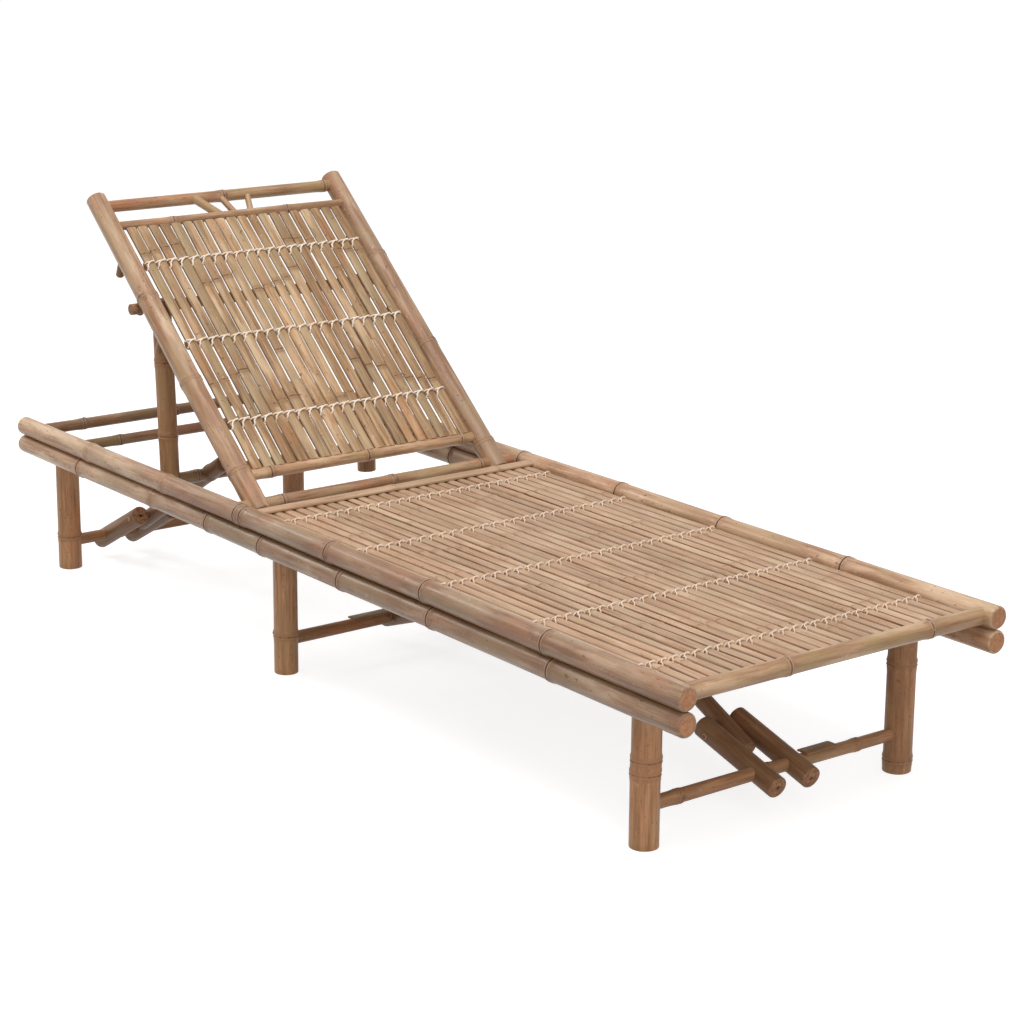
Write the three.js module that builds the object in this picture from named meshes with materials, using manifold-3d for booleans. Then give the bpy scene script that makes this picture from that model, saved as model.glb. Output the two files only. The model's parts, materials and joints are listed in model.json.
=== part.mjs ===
// Bamboo folding recliner on six folding legs, in millimetres.
// +X is the foot end, -Y the near side, +Z up, the origin is on the floor under the middle.
import * as THREE from 'three';
import { mergeVertices } from 'three/addons/utils/BufferGeometryUtils.js';
import Module from 'manifold-3d';

const wasm = await Module();
wasm.setup();

// Clearances and faceting
const GAP = 0.3; // between pieces that touch
const HOLE_GAP = 0.5; // radial, clears the facets of a rod that turns in its hole
const SIDES = 12;
const RAIL_SIDES = 16; // rails and backrest poles
const RIM = 1; // bevel round a sawn end
const ROUND_RIM = 4.5; // rounded end
const NODE_RING = 0.9; // height of the ridge at a bamboo node
const NODE_HALF = 7; // half length of that ridge

// Side rails, two stacked poles on each side, thicker at the foot end
const RAIL_LENGTH = 2000;
const RAIL_Y = 319;
const RAIL_TOP_Z = 285;
const RAIL_R_FOOT = 19.2;
const RAIL_R_HEAD = 17.4;
const RAIL_SEAM = 1.2; // between the stacked poles, bridged by the node ridges
const SOCKET_PAST = 4; // how far a cross bar runs past a rail's centre line
const RAIL_NODE_SHARES = {
  top: [0.1375, 0.405, 0.687],
  low: [0.2575, 0.569, 0.85],
};

// Cross bars of the frame, all run rail to rail
const FOOT_X = RAIL_LENGTH / 2;
const HEAD_X = -RAIL_LENGTH / 2;
const ROD_DROP = 40; // from the top rails down to the rods in the lower rails
const ROD_Z = RAIL_TOP_Z - ROD_DROP;
const HEAD_BAR_INSET = 53; // from the rails' head end
const HEAD_BAR_R = 11;
const HINGE_X = -223.5;
const HINGE_R = 12.5;
const FOOT_RUNG_INSET = 25; // from the rails' foot end
const FOOT_RUNG_X = FOOT_X - FOOT_RUNG_INSET;
const FOOT_RUNG_R = 14;
const PROP_ROD_FROM_HINGE = 371.5;
const PROP_ROD_X = HINGE_X - PROP_ROD_FROM_HINGE;
const PROP_ROD_R = 12;

// Leg pairs, from the foot end to the head end
const LEG_INSET = 53; // leg centre to rail centre
const LEG_Y = RAIL_Y - LEG_INSET;
const LEG_PAST = 16; // above the pivot rod
const RUNG_R = 10.8;
const RUNG_PAST = 12; // past a leg's centre line
const FRONT_LEG_INSET = 148.5; // from the rails' foot end
const MIDDLE_LEG_FROM_HINGE = 93.5;
const REAR_LEG_INSET = 71; // from the rails' head end
const LEG_PAIRS = {
  front: { x: FOOT_X - FRONT_LEG_INSET, radius: 23.2, rungZ: 65, rodRadius: 11 },
  middle: { x: HINGE_X + MIDDLE_LEG_FROM_HINGE, radius: 21.6, rungZ: 60, rodRadius: 11 },
  rear: { x: HEAD_X + REAR_LEG_INSET, radius: 22.8, rungZ: 53.5, rodRadius: 10.5 },
};

// Flat stop strips on two of the rungs
const TAB_WIDTH = 24;
const TAB_THICK = 4;
const TABS = { front: { from: 54, to: 118 }, middle: { from: -126, to: -48 } };

// Folding braces: a pair of arms on the rung, and a link that hangs on a cross rod
const BRACE_ROD_R = 9.5;
const BRACE_ROD_FROM_LEG = 430; // middle pair
const BRACE_ROD_SPACING = 120; // middle pair's rod to front pair's rod
const MIDDLE_BRACE_ROD_X = LEG_PAIRS.middle.x + BRACE_ROD_FROM_LEG;
const FRONT_BRACE_ROD_X = MIDDLE_BRACE_ROD_X + BRACE_ROD_SPACING;
const ARM_R = 18.1;
const ARM_SPREAD = 35.5; // arm centre to brace centre
const ARM_TAIL = 45; // below the rung
const ARM_TOPS = { front: 136, middle: 142, rear: 142 }; // above the rung
const LINK_OVERHANG = 50; // past the elbow pin
const PIN_R = 5;
const PIN_SHORT = 0.5; // the pin's ends stay this far from the arms
const PIN_SOCKET = 8;
const PIN_HEAD = 1.5;
const BRACES = {
  front: { y: -2, armSlope: 15.9, reach: 110, side: -1, rodX: FRONT_BRACE_ROD_X, linkRadius: 14.8, tail: 34 },
  middle: { y: 15, armSlope: 19.5, reach: 112, side: 1, rodX: MIDDLE_BRACE_ROD_X, linkRadius: 14.8, tail: 34 },
  rear: { y: -138, armSlope: 28, reach: 121.5, side: 1, rodX: PROP_ROD_X, linkRadius: 15.5, tail: 60 },
};

// Seat mat of lengthwise slats on cross battens
const SEAT_SLATS = 27;
const SEAT_CLEAR = 1.6; // to the thick end of a rail
const SEAT_HALF = RAIL_Y - RAIL_R_FOOT - SEAT_CLEAR;
const SEAT_FROM_HINGE = 46.5;
const SEAT_HEAD_X = HINGE_X + SEAT_FROM_HINGE;
const SLATS_ABOVE_AXIS = 4; // above the top rails' centre line
const SLAT_TOP_Z = RAIL_TOP_Z + SLATS_ABOVE_AXIS;
const SLAT_THICK = 6.5;
const SLAT_GAP = 2.8;
const BATTEN_WIDTH = 14;
const BATTEN_THICK = 6;
const SEAT_BATTEN_SHARES = [0.0747, 0.268, 0.478, 0.689, 0.908];
const STRIP_WIDTH = 27;
const STRIP_CROWN = 6.4;
const STRIP_EDGE = 3;
const STRIP_PAST = 2.7; // past the slats, over the rails' shoulders
const STRIP_HALF = SEAT_HALF + STRIP_PAST;

// Backrest, hinged on the hinge bar; s runs up along its poles, f is in front of their plane
const BACK_ANGLE = 40.7; // above horizontal
const BACK_POLE_INSET = 54; // pole centre to rail centre
const BACK_POLE_Y = RAIL_Y - BACK_POLE_INSET;
const BACK_POLE_R_LOW = 21;
const BACK_POLE_R_TOP = 19.3;
const BACK_POLE_BELOW = 18; // past the hinge
const BACK_POLE_S = 730;
const BACK_NODE_SHARES = [0.38, 0.77];
const BACK_BAR_PAST = 7;
const BACK_TOP_INSET = 22; // from the poles' top end
const BACK_TOP_S = BACK_POLE_S - BACK_TOP_INSET;
const BACK_TOP_R = 11.35;
const BACK_RUNG_S = 64.5;
const BACK_RUNG_R = 10.5;
const SLAT_BAR_BELOW_TOP = 54; // below the top bar
const SLAT_BAR_S = BACK_TOP_S - SLAT_BAR_BELOW_TOP;
const SLAT_BAR_HEIGHT = 16;
const SLAT_BAR_THICK = 10;
const SLAT_BAR_F = 6;
const BACK_SLATS = 20;
const BACK_MAT_CLEAR = 2; // to the thick end of a pole
const BACK_MAT_HALF = BACK_POLE_Y - BACK_POLE_R_LOW - BACK_MAT_CLEAR;
const BACK_SLAT_FRONT = 11;
const BACK_MAT_ABOVE_RUNG = 10.7;
const BACK_BATTEN_SHARES = [0.18, 0.508, 0.839];
const STRUT_TOP_F = 2;
const STRUT_FOOT_F = 6;
const STRUTS = [
  { topShare: -0.245, footShare: -0.106, radius: 8.5 },
  { topShare: -0.023, footShare: 0.023, radius: 6.2 },
  { topShare: 0.215, footShare: 0.151, radius: 6 },
];

// Hook pegs under the poles, three settings for the prop
const PEG_R = 7.7;
const PEG_INSET = 8; // from a pole's centre line
const PEG_Y = BACK_POLE_Y - PEG_INSET;
const PEG_START = 4;
const PEG_LENGTH = 64;
const PEG_TILT = 18; // the pegs lean down towards the hinge
const PEG_PITCH = 93;
const PEG_SETTINGS = { lower: -1, middle: 0, upper: 1 };

// Prop, hinged on its own rod, its bar hooked under the middle pegs
const PROP_BAR_S = 485;
const PROP_BAR_R = 10.3;
const PROP_BAR_PAST = 25; // past the backrest poles' centre lines
const PROP_BAR_HALF = BACK_POLE_Y + PROP_BAR_PAST;
const PROP_LEG_R = 18.3;
const PROP_LEG_CLEAR = 1.2; // to a backrest pole
const PROP_LEG_Y = BACK_POLE_Y - BACK_POLE_R_LOW - PROP_LEG_R - PROP_LEG_CLEAR;
const PROP_FOOT = 48; // below the rod
const PROP_TOP = 12; // above the bar

const SIDES_OF_CHAIR = { near: -1, far: 1 };
const COLOURS = { rail: 0xc8a77f, leg: 0xa98058, rod: 0xbd9468, slat: 0xd2b887 };
const radians = THREE.MathUtils.degToRad;
const UP = new THREE.Vector3(0, 0, 1);

// Turns a closed geometry into a solid for cutting and joining.
function toSolid(geometry) {
  const plain = geometry.clone();
  plain.deleteAttribute('normal');
  plain.deleteAttribute('uv');
  const merged = mergeVertices(plain);
  const index = merged.index.array;
  const triVerts = [];
  for (let i = 0; i < index.length; i += 3) {
    const [a, b, c] = [index[i], index[i + 1], index[i + 2]];
    if (a !== b && b !== c && c !== a) triVerts.push(a, b, c);
  }
  return new wasm.Manifold(new wasm.Mesh({
    numProp: 3,
    vertProperties: Float32Array.from(merged.attributes.position.array),
    triVerts: Uint32Array.from(triVerts),
  }));
}

function toGeometry(solid) {
  const mesh = solid.getMesh();
  const geometry = new THREE.BufferGeometry();
  const positions = [];
  for (let i = 0; i < mesh.vertProperties.length; i += mesh.numProp) {
    positions.push(mesh.vertProperties[i], mesh.vertProperties[i + 1], mesh.vertProperties[i + 2]);
  }
  geometry.setAttribute('position', new THREE.Float32BufferAttribute(positions, 3));
  geometry.setIndex(Array.from(mesh.triVerts));
  return geometry;
}

// A bamboo pole along +Z from zero, with bevelled ends and a ridge at each node.
function poleGeometry(length, startRadius, endRadius, { nodeShares, rim, sides }) {
  const profile = [[0, 0], [startRadius - rim, 0], [startRadius, rim]];
  for (const share of nodeShares) {
    const radius = THREE.MathUtils.lerp(startRadius, endRadius, share);
    const at = share * length;
    profile.push([radius, at - NODE_HALF], [radius + NODE_RING, at], [radius, at + NODE_HALF]);
  }
  profile.push([endRadius, length - rim], [endRadius - rim, length], [0, length]);
  const lathe = new THREE.LatheGeometry(profile.map(([r, z]) => new THREE.Vector2(r, z)), sides);
  return lathe.rotateX(Math.PI / 2);
}

function rodGeometry(length, radius) {
  const profile = [[0, 0], [radius, 0], [radius, length], [0, length]];
  const lathe = new THREE.LatheGeometry(profile.map(([r, z]) => new THREE.Vector2(r, z)), SIDES);
  return lathe.rotateX(Math.PI / 2);
}

function addPiece(parent, name, geometry, colour) {
  const material = new THREE.MeshStandardMaterial({ color: colour, roughness: 0.5, metalness: 0 });
  const mesh = new THREE.Mesh(geometry, material);
  mesh.name = name;
  parent.add(mesh);
  return mesh;
}

// Adds a pole that runs between two points of its group.
function addPole(parent, name, colour, start, end, options) {
  const { radius, endRadius = radius, nodeShares = [], rim = RIM, sides = SIDES } = options;
  const span = new THREE.Vector3().subVectors(end, start);
  const geometry = poleGeometry(span.length(), radius, endRadius, { nodeShares, rim, sides });
  const mesh = addPiece(parent, name, toGeometry(toSolid(geometry)), colour);
  mesh.position.copy(start);
  mesh.quaternion.setFromUnitVectors(UP, span.normalize());
  return mesh;
}

// The solid of a rod between two points, in the frame of a mesh beside it in its group.
function rodIn(mesh, start, end, radius) {
  const span = new THREE.Vector3().subVectors(end, start);
  const geometry = rodGeometry(span.length(), radius);
  const turn = new THREE.Quaternion().setFromUnitVectors(UP, span.normalize());
  const placed = new THREE.Matrix4().compose(start, turn, new THREE.Vector3(1, 1, 1));
  mesh.updateMatrix();
  geometry.applyMatrix4(mesh.matrix.clone().invert().multiply(placed));
  return toSolid(geometry);
}

function boxIn(mesh, center, size) {
  const geometry = new THREE.BoxGeometry(size.x, size.y, size.z);
  geometry.translate(center.x, center.y, center.z);
  mesh.updateMatrix();
  geometry.applyMatrix4(mesh.matrix.clone().invert());
  return toSolid(geometry);
}

function cut(mesh, solids) {
  let body = toSolid(mesh.geometry);
  for (const solid of solids) body = body.subtract(solid);
  mesh.geometry = toGeometry(body);
}

function join(mesh, solids) {
  let body = toSolid(mesh.geometry);
  for (const solid of solids) body = body.add(solid);
  mesh.geometry = toGeometry(body);
}

// A hole along Y through a mesh, from one y to the other.
function crossHole(mesh, x, z, fromY, toY, radius) {
  return rodIn(mesh, new THREE.Vector3(x, fromY, z), new THREE.Vector3(x, toY, z), radius);
}

function addCrossBar(parent, name, x, z, half, radius) {
  const start = new THREE.Vector3(x, -half, z);
  const end = new THREE.Vector3(x, half, z);
  return addPole(parent, name, COLOURS.rod, start, end, { radius });
}

// One flat mat: slats side by side in Y, tied to battens that cross behind them.
// The slats run along the group's given axis, and face along the other one.
function matGeometry({ slats, half, from, to, face, battenShares, alongX }) {
  const pitch = 2 * half / slats;
  const box = (alongFrom, alongTo, y, width, faceFrom, faceTo) => {
    const along = alongTo - alongFrom;
    const deep = faceTo - faceFrom;
    const size = alongX ? [along, width, deep] : [deep, width, along];
    const alongMid = (alongFrom + alongTo) / 2;
    const faceMid = (faceFrom + faceTo) / 2;
    const at = alongX ? [alongMid, y, faceMid] : [faceMid, y, alongMid];
    return toSolid(new THREE.BoxGeometry(...size).translate(...at));
  };
  const back = face - SLAT_THICK;
  const pieces = [];
  for (let i = 0; i < slats; i += 1) {
    pieces.push(box(from, to, -half + (i + 0.5) * pitch, pitch - SLAT_GAP, back, face));
  }
  const battenHalf = half - SLAT_GAP / 2;
  for (const share of battenShares) {
    const at = THREE.MathUtils.lerp(from, to, share);
    const halfWidth = BATTEN_WIDTH / 2;
    pieces.push(box(at - halfWidth, at + halfWidth, 0, 2 * battenHalf, back - BATTEN_THICK, back));
  }
  return toGeometry(pieces.reduce((whole, piece) => whole.add(piece)));
}

const chair = new THREE.Group();

// Frame
const lowRailZ = (radius) => RAIL_TOP_Z - 2 * radius - RAIL_SEAM;
const rails = { top: [], low: [] };
for (const [side, sign] of Object.entries(SIDES_OF_CHAIR)) {
  for (const level of ['top', 'low']) {
    const headZ = level === 'top' ? RAIL_TOP_Z : lowRailZ(RAIL_R_HEAD);
    const footZ = level === 'top' ? RAIL_TOP_Z : lowRailZ(RAIL_R_FOOT);
    const head = new THREE.Vector3(HEAD_X, sign * RAIL_Y, headZ);
    const foot = new THREE.Vector3(FOOT_X, sign * RAIL_Y, footZ);
    const shares = RAIL_NODE_SHARES[level];
    const options = { radius: RAIL_R_HEAD, endRadius: RAIL_R_FOOT, nodeShares: shares, sides: RAIL_SIDES };
    const rail = addPole(chair, `rail_${level}_${side}`, COLOURS.rail, head, foot, options);
    rails[level].push({ rail, sign });
  }
}

const barHalf = RAIL_Y + SOCKET_PAST;
const crossBars = [
  { name: 'head_bar', level: 'top', x: HEAD_X + HEAD_BAR_INSET, radius: HEAD_BAR_R },
  { name: 'hinge_bar', level: 'top', x: HINGE_X, radius: HINGE_R },
  { name: 'foot_rung', level: 'top', x: FOOT_RUNG_X, radius: FOOT_RUNG_R },
  { name: 'brace_rod_front', level: 'low', x: FRONT_BRACE_ROD_X, radius: BRACE_ROD_R },
  { name: 'brace_rod_middle', level: 'low', x: MIDDLE_BRACE_ROD_X, radius: BRACE_ROD_R },
  { name: 'prop_rod', level: 'low', x: PROP_ROD_X, radius: PROP_ROD_R },
];
for (const [pair, leg] of Object.entries(LEG_PAIRS)) {
  crossBars.push({ name: `leg_rod_${pair}`, level: 'low', x: leg.x, radius: leg.rodRadius });
}
for (const bar of crossBars) {
  bar.z = bar.level === 'top' ? RAIL_TOP_Z : ROD_Z;
  addCrossBar(chair, bar.name, bar.x, bar.z, barHalf, bar.radius);
}
for (const [level, pair] of Object.entries(rails)) {
  for (const { rail, sign } of pair) {
    const inside = sign * (RAIL_Y - 2 * RAIL_R_FOOT);
    const bottom = sign * (barHalf + GAP);
    const bars = crossBars.filter((bar) => bar.level === level);
    cut(rail, bars.map((bar) => crossHole(rail, bar.x, bar.z, inside, bottom, bar.radius + GAP)));
  }
}

const seatMat = {
  slats: SEAT_SLATS,
  half: SEAT_HALF,
  from: SEAT_HEAD_X,
  to: FOOT_RUNG_X - FOOT_RUNG_R - GAP,
  face: SLAT_TOP_Z,
  battenShares: SEAT_BATTEN_SHARES,
  alongX: true,
};
addPiece(chair, 'seat_mat', matGeometry(seatMat), COLOURS.slat);

const stripShape = new THREE.Shape();
stripShape.moveTo(-STRIP_WIDTH / 2, 0);
stripShape.lineTo(STRIP_WIDTH / 2, 0);
stripShape.lineTo(STRIP_WIDTH / 2, STRIP_EDGE);
stripShape.quadraticCurveTo(0, 2 * STRIP_CROWN - STRIP_EDGE, -STRIP_WIDTH / 2, STRIP_EDGE);
stripShape.closePath();
const stripOptions = { depth: 2 * STRIP_HALF, bevelEnabled: false, curveSegments: 8 };
const stripGeometry = new THREE.ExtrudeGeometry(stripShape, stripOptions).rotateX(Math.PI / 2);
const strip = addPiece(chair, 'seat_end_strip', toGeometry(toSolid(stripGeometry)), COLOURS.slat);
strip.position.set(SEAT_HEAD_X + STRIP_WIDTH / 2, STRIP_HALF, SLAT_TOP_Z + GAP);

// Leg pairs with their braces
for (const [pair, leg] of Object.entries(LEG_PAIRS)) {
  const legs = new THREE.Group();
  legs.position.set(leg.x, 0, ROD_Z);
  chair.add(legs);
  const rungZ = leg.rungZ - ROD_Z;
  const rungHalf = LEG_Y + RUNG_PAST;
  for (const [side, sign] of Object.entries(SIDES_OF_CHAIR)) {
    const foot = new THREE.Vector3(0, sign * LEG_Y, -ROD_Z);
    const top = new THREE.Vector3(0, sign * LEG_Y, LEG_PAST);
    const mesh = addPole(legs, `leg_${pair}_${side}`, COLOURS.leg, foot, top, { radius: leg.radius });
    const inside = sign * (LEG_Y - 2 * leg.radius);
    const outside = sign * (LEG_Y + 2 * leg.radius);
    cut(mesh, [
      crossHole(mesh, 0, 0, inside, outside, leg.rodRadius + HOLE_GAP),
      crossHole(mesh, 0, rungZ, inside, sign * (rungHalf + GAP), RUNG_R + GAP),
    ]);
  }
  addCrossBar(legs, `rung_${pair}`, 0, rungZ, rungHalf, RUNG_R);
  if (TABS[pair]) {
    const { from, to } = TABS[pair];
    const geometry = new THREE.BoxGeometry(TAB_WIDTH, to - from, TAB_THICK);
    const tab = addPiece(legs, `tab_${pair}`, geometry, COLOURS.slat);
    tab.position.set(0, (from + to) / 2, rungZ + RUNG_R + GAP + TAB_THICK / 2);
  }

  const brace = BRACES[pair];
  const slope = radians(brace.armSlope);
  const arms = new THREE.Group();
  arms.position.set(0, brace.y, rungZ);
  arms.rotation.y = brace.side * (Math.PI / 2 - slope);
  legs.add(arms);
  for (const [side, sign] of Object.entries(SIDES_OF_CHAIR)) {
    const y = sign * ARM_SPREAD;
    const tail = new THREE.Vector3(0, y, -ARM_TAIL);
    const top = new THREE.Vector3(0, y, ARM_TOPS[pair]);
    const options = { radius: ARM_R, rim: ROUND_RIM };
    const arm = addPole(arms, `brace_arm_${pair}_${side}`, COLOURS.rod, tail, top, options);
    const innerY = sign * (ARM_SPREAD - ARM_R - GAP);
    const socketY = sign * (ARM_SPREAD - ARM_R + PIN_SOCKET);
    const headY = sign * (ARM_SPREAD + ARM_R + PIN_HEAD);
    cut(arm, [
      crossHole(arm, 0, 0, y - 2 * ARM_R, y + 2 * ARM_R, RUNG_R + HOLE_GAP),
      crossHole(arm, 0, brace.reach, innerY, socketY, PIN_R + HOLE_GAP),
    ]);
    join(arm, [crossHole(arm, 0, brace.reach, y, headY, PIN_R)]);
  }

  const pinX = leg.x + brace.side * brace.reach * Math.cos(slope);
  const pinZ = leg.rungZ + brace.reach * Math.sin(slope);
  const linkSpan = Math.hypot(pinX - brace.rodX, pinZ - ROD_Z);
  const link = new THREE.Group();
  link.position.set(brace.rodX, brace.y, ROD_Z);
  link.rotation.y = Math.atan2(brace.rodX - pinX, ROD_Z - pinZ);
  chair.add(link);
  const low = new THREE.Vector3(0, 0, -linkSpan - LINK_OVERHANG);
  const high = new THREE.Vector3(0, 0, brace.tail);
  const linkOptions = { radius: brace.linkRadius, rim: ROUND_RIM };
  const linkMesh = addPole(link, `brace_link_${pair}`, COLOURS.rod, low, high, linkOptions);
  const rodRadius = pair === 'rear' ? PROP_ROD_R : BRACE_ROD_R;
  const through = 2 * brace.linkRadius;
  cut(linkMesh, [
    crossHole(linkMesh, 0, 0, -through, through, rodRadius + HOLE_GAP),
    crossHole(linkMesh, 0, -linkSpan, -through, through, PIN_R + GAP),
  ]);
  const pinHalf = ARM_SPREAD - ARM_R - PIN_SHORT;
  addCrossBar(link, `elbow_pin_${pair}`, 0, -linkSpan, pinHalf, PIN_R);
}

// Backrest: x is in front of the poles' plane, z runs up along them
const back = new THREE.Group();
back.position.set(HINGE_X, 0, RAIL_TOP_Z);
back.rotation.y = radians(BACK_ANGLE) - Math.PI / 2;
chair.add(back);

const backRadiusAt = (s) => THREE.MathUtils.mapLinear(
  s, -BACK_POLE_BELOW, BACK_POLE_S, BACK_POLE_R_LOW, BACK_POLE_R_TOP);
const barOffset = backRadiusAt(PROP_BAR_S) + PROP_BAR_R + GAP;
const tilt = radians(PEG_TILT);
const pegClear = (PEG_R + PROP_BAR_R + GAP) / Math.cos(tilt);
const middlePegS = PROP_BAR_S + barOffset * Math.tan(tilt) + pegClear;
const backBarHalf = BACK_POLE_Y + BACK_BAR_PAST;
const slatBarSize = new THREE.Vector3(SLAT_BAR_THICK, 2 * backBarHalf, SLAT_BAR_HEIGHT);
const slatBarAt = new THREE.Vector3(SLAT_BAR_F, 0, SLAT_BAR_S);
const slatBarSocket = slatBarSize.clone().addScalar(2 * GAP);

for (const [side, sign] of Object.entries(SIDES_OF_CHAIR)) {
  const y = sign * BACK_POLE_Y;
  const low = new THREE.Vector3(0, y, -BACK_POLE_BELOW);
  const top = new THREE.Vector3(0, y, BACK_POLE_S);
  const options = {
    radius: BACK_POLE_R_LOW,
    endRadius: BACK_POLE_R_TOP,
    nodeShares: BACK_NODE_SHARES,
    sides: RAIL_SIDES,
  };
  const pole = addPole(back, `back_pole_${side}`, COLOURS.rail, low, top, options);
  const inside = sign * (BACK_POLE_Y - 2 * BACK_POLE_R_LOW);
  const outside = sign * (BACK_POLE_Y + 2 * BACK_POLE_R_LOW);
  const blind = sign * (backBarHalf + GAP);
  const cutters = [
    crossHole(pole, 0, 0, inside, outside, HINGE_R + HOLE_GAP),
    crossHole(pole, 0, BACK_TOP_S, inside, blind, BACK_TOP_R + GAP),
    crossHole(pole, 0, BACK_RUNG_S, inside, blind, BACK_RUNG_R + GAP),
    boxIn(pole, slatBarAt, slatBarSocket),
  ];
  const along = new THREE.Vector3(-Math.cos(tilt), 0, -Math.sin(tilt));
  for (const [setting, step] of Object.entries(PEG_SETTINGS)) {
    const root = new THREE.Vector3(0, sign * PEG_Y, middlePegS + step * PEG_PITCH);
    const start = root.clone().addScaledVector(along, PEG_START);
    const end = root.clone().addScaledVector(along, PEG_LENGTH);
    const socketStart = root.clone().addScaledVector(along, PEG_START - GAP);
    cutters.push(rodIn(pole, socketStart, end, PEG_R + GAP));
    addPole(back, `peg_${side}_${setting}`, COLOURS.leg, start, end, { radius: PEG_R, rim: ROUND_RIM });
  }
  cut(pole, cutters);
}

addCrossBar(back, 'back_top_bar', 0, BACK_TOP_S, backBarHalf, BACK_TOP_R);
addCrossBar(back, 'back_bottom_rung', 0, BACK_RUNG_S, backBarHalf, BACK_RUNG_R);
const slatBar = addPiece(back, 'back_slat_bar', new THREE.BoxGeometry(...slatBarSize), COLOURS.slat);
slatBar.position.copy(slatBarAt);

const slatBarTop = SLAT_BAR_S + SLAT_BAR_HEIGHT / 2;
STRUTS.forEach(({ topShare, footShare, radius }, i) => {
  const footY = footShare * BACK_POLE_Y;
  const top = new THREE.Vector3(STRUT_TOP_F, topShare * BACK_POLE_Y, BACK_TOP_S);
  const foot = new THREE.Vector3(STRUT_FOOT_F, footY, SLAT_BAR_S);
  const strut = addPole(back, `back_strut_${i + 1}`, COLOURS.leg, foot, top, { radius });
  const below = new THREE.Vector3(4 * radius, 8 * radius, 2 * SLAT_BAR_HEIGHT);
  const belowAt = new THREE.Vector3(STRUT_FOOT_F, footY, slatBarTop + GAP - SLAT_BAR_HEIGHT);
  cut(strut, [
    crossHole(strut, 0, BACK_TOP_S, -backBarHalf, backBarHalf, BACK_TOP_R + GAP),
    boxIn(strut, belowAt, below),
  ]);
});

const backMat = {
  slats: BACK_SLATS,
  half: BACK_MAT_HALF,
  from: BACK_RUNG_S + BACK_MAT_ABOVE_RUNG,
  to: SLAT_BAR_S - SLAT_BAR_HEIGHT / 2 - GAP,
  face: BACK_SLAT_FRONT,
  battenShares: BACK_BATTEN_SHARES,
  alongX: false,
};
addPiece(back, 'back_mat', matGeometry(backMat), COLOURS.slat);

// Prop: z runs up along its legs from the prop rod
const backAngle = radians(BACK_ANGLE);
const propBarX = HINGE_X - PROP_BAR_S * Math.cos(backAngle) - barOffset * Math.sin(backAngle);
const propBarZ = RAIL_TOP_Z + PROP_BAR_S * Math.sin(backAngle) - barOffset * Math.cos(backAngle);
const propSpan = Math.hypot(propBarX - PROP_ROD_X, propBarZ - ROD_Z);
const prop = new THREE.Group();
prop.position.set(PROP_ROD_X, 0, ROD_Z);
prop.rotation.y = Math.atan2(propBarX - PROP_ROD_X, propBarZ - ROD_Z);
chair.add(prop);
for (const [side, sign] of Object.entries(SIDES_OF_CHAIR)) {
  const foot = new THREE.Vector3(0, sign * PROP_LEG_Y, -PROP_FOOT);
  const top = new THREE.Vector3(0, sign * PROP_LEG_Y, propSpan + PROP_TOP);
  const leg = addPole(prop, `prop_leg_${side}`, COLOURS.leg, foot, top, { radius: PROP_LEG_R });
  const inside = sign * (PROP_LEG_Y - 2 * PROP_LEG_R);
  const outside = sign * (PROP_LEG_Y + 2 * PROP_LEG_R);
  cut(leg, [
    crossHole(leg, 0, 0, inside, outside, PROP_ROD_R + HOLE_GAP),
    crossHole(leg, 0, propSpan, inside, outside, PROP_BAR_R + GAP),
  ]);
}
addCrossBar(prop, 'prop_bar', 0, propSpan, PROP_BAR_HALF, PROP_BAR_R);

export default chair;
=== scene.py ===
"""A bamboo folding recliner: its poles, mats and lacing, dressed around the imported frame."""
import json
import math
import random
from collections import namedtuple

import bpy
import numpy as np
from mathutils import Matrix, Vector


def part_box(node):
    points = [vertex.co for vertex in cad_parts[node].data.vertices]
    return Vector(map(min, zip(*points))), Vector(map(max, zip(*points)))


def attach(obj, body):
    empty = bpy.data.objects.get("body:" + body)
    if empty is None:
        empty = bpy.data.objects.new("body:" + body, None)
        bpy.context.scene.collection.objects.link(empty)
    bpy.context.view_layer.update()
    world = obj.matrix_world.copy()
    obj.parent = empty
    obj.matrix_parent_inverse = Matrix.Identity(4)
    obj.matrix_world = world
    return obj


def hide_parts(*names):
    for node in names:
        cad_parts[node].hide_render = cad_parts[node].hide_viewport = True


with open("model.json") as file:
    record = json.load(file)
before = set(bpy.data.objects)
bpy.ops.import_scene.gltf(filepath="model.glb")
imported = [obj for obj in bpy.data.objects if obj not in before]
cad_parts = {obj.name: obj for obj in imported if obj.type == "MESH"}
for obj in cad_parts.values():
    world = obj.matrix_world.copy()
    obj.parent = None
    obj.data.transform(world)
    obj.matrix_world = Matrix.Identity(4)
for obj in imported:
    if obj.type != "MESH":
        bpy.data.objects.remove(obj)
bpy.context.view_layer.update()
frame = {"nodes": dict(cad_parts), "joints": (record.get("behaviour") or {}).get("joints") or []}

MM = 0.001
ALONG_X = Vector((1, 0, 0))
ALONG_Y = Vector((0, 1, 0))
UP = Vector((0, 0, 1))

# Camera, at the photograph's viewpoint
LENS = 91.71
SENSOR = 36
CAMERA_AT = Vector((3588.55, -2630.53, 1517.12)) * MM
CAMERA_AZIMUTH = math.radians(52.37)
CAMERA_ELEVATION = math.radians(15.52)
CAMERA_ROLL = math.radians(0.59)
CAMERA_FAR = 100

# Floor and light
FLOOR_HALF = 30
FLOOR_GREY = 0.45
FLOOR_LIFT = 0.8
WORLD_STRENGTH = 0.46
LIT_POINT = Vector((0, 0, 0.3))
Lamp = namedtuple("Lamp", "name place size power")
LAMPS = [
    Lamp("key", Vector((0.8, -0.9, 4.8)), 3.6, 150),
    Lamp("foot_fill", Vector((4.4, -1.4, 1.6)), 2.5, 46),
    Lamp("head_glint", Vector((-3.1, -1.5, 2.7)), 0.9, 26),
]

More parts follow.
